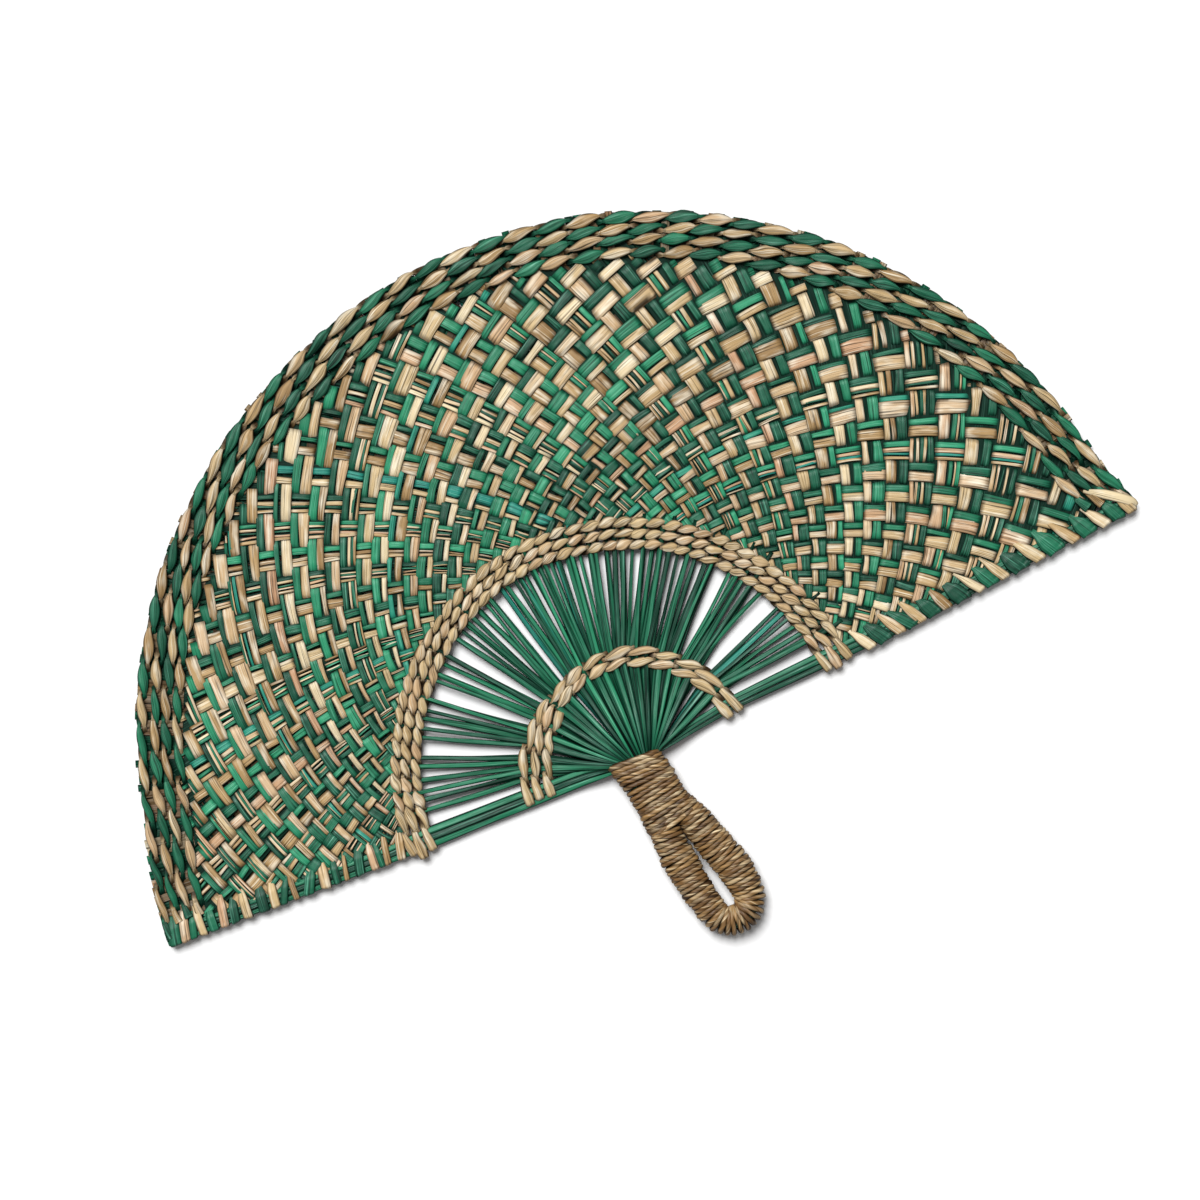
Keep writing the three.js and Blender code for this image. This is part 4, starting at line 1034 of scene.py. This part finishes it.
# Matt white paper, which the camera sees nearly white. To the lamp it is grey, so that it throws
# little light back on the fan
floor_material = bpy.data.materials.new("matt_white_floor")
floor_material.use_nodes = True
floor_material.node_tree.nodes.clear()
seen = add(floor_material, "ShaderNodeLightPath")
shown = add(
    floor_material, "ShaderNodeMix", {"data_type": "RGBA"},
    i0=seen.outputs["Is Camera Ray"], i6=(0.4, 0.4, 0.4, 1), i7=(0.97, 0.97, 0.97, 1),
)
paper = add(floor_material, "ShaderNodeBsdfDiffuse", Color=shown.outputs[2])
add(floor_material, "ShaderNodeOutputMaterial", Surface=paper.outputs[0])
floor_mesh = bpy.data.meshes.new("floor")
floor_corners = [
    (x * FLOOR_HALF, y * FLOOR_HALF, FLOOR_HEIGHT) for x, y in ((-1, -1), (1, -1), (1, 1), (-1, 1))
]
floor_mesh.from_pydata(floor_corners, [], [(0, 1, 2, 3)])
floor_mesh.materials.append(floor_material)
floor = bpy.data.objects.new("floor", floor_mesh)
bpy.context.scene.collection.objects.link(floor)

world = bpy.data.worlds.new("soft_white_room")
bpy.context.scene.world = world
world.use_nodes = True
background = world.node_tree.nodes["Background"]
background.inputs["Color"].default_value = (1, 1, 1, 1)
ray = add(world, "ShaderNodeLightPath").outputs["Is Camera Ray"]
strength = add(world, "ShaderNodeMapRange", i0=ray, i1=0.0, i2=1.0, i3=0.22, i4=1.0)
world.node_tree.links.new(strength.outputs[0], background.inputs["Strength"])

lamp_data = bpy.data.lights.new("soft_lamp", "SUN")
lamp_data.angle = math.radians(32)
lamp_data.energy = 3.5
lamp = bpy.data.objects.new("soft_lamp", lamp_data)
lamp.location = UP_IN_PHOTO * 0.7 - RIGHT_IN_PHOTO * 0.4 + Vector((0, 0, 1.35))
lamp.rotation_mode = "QUATERNION"
lamp.rotation_quaternion = (-lamp.location).to_track_quat("-Z", "Y")
bpy.context.scene.collection.objects.link(lamp)

camera_data = bpy.data.cameras.new("camera")
camera_data.lens = 85
camera_data.sensor_width = 36
camera = bpy.data.objects.new("camera", camera_data)
distance = FRAME_WIDTH * camera_data.lens / camera_data.sensor_width
camera.location = Vector((0.00073, -0.00243, distance + FRAME_HEIGHT))
camera.rotation_mode = "XYZ"
camera.rotation_euler = (0, 0, math.atan2(-UP_IN_PHOTO.x, UP_IN_PHOTO.y))
bpy.context.scene.collection.objects.link(camera)
bpy.context.scene.camera = camera
bpy.context.scene.view_settings.view_transform = "Standard"
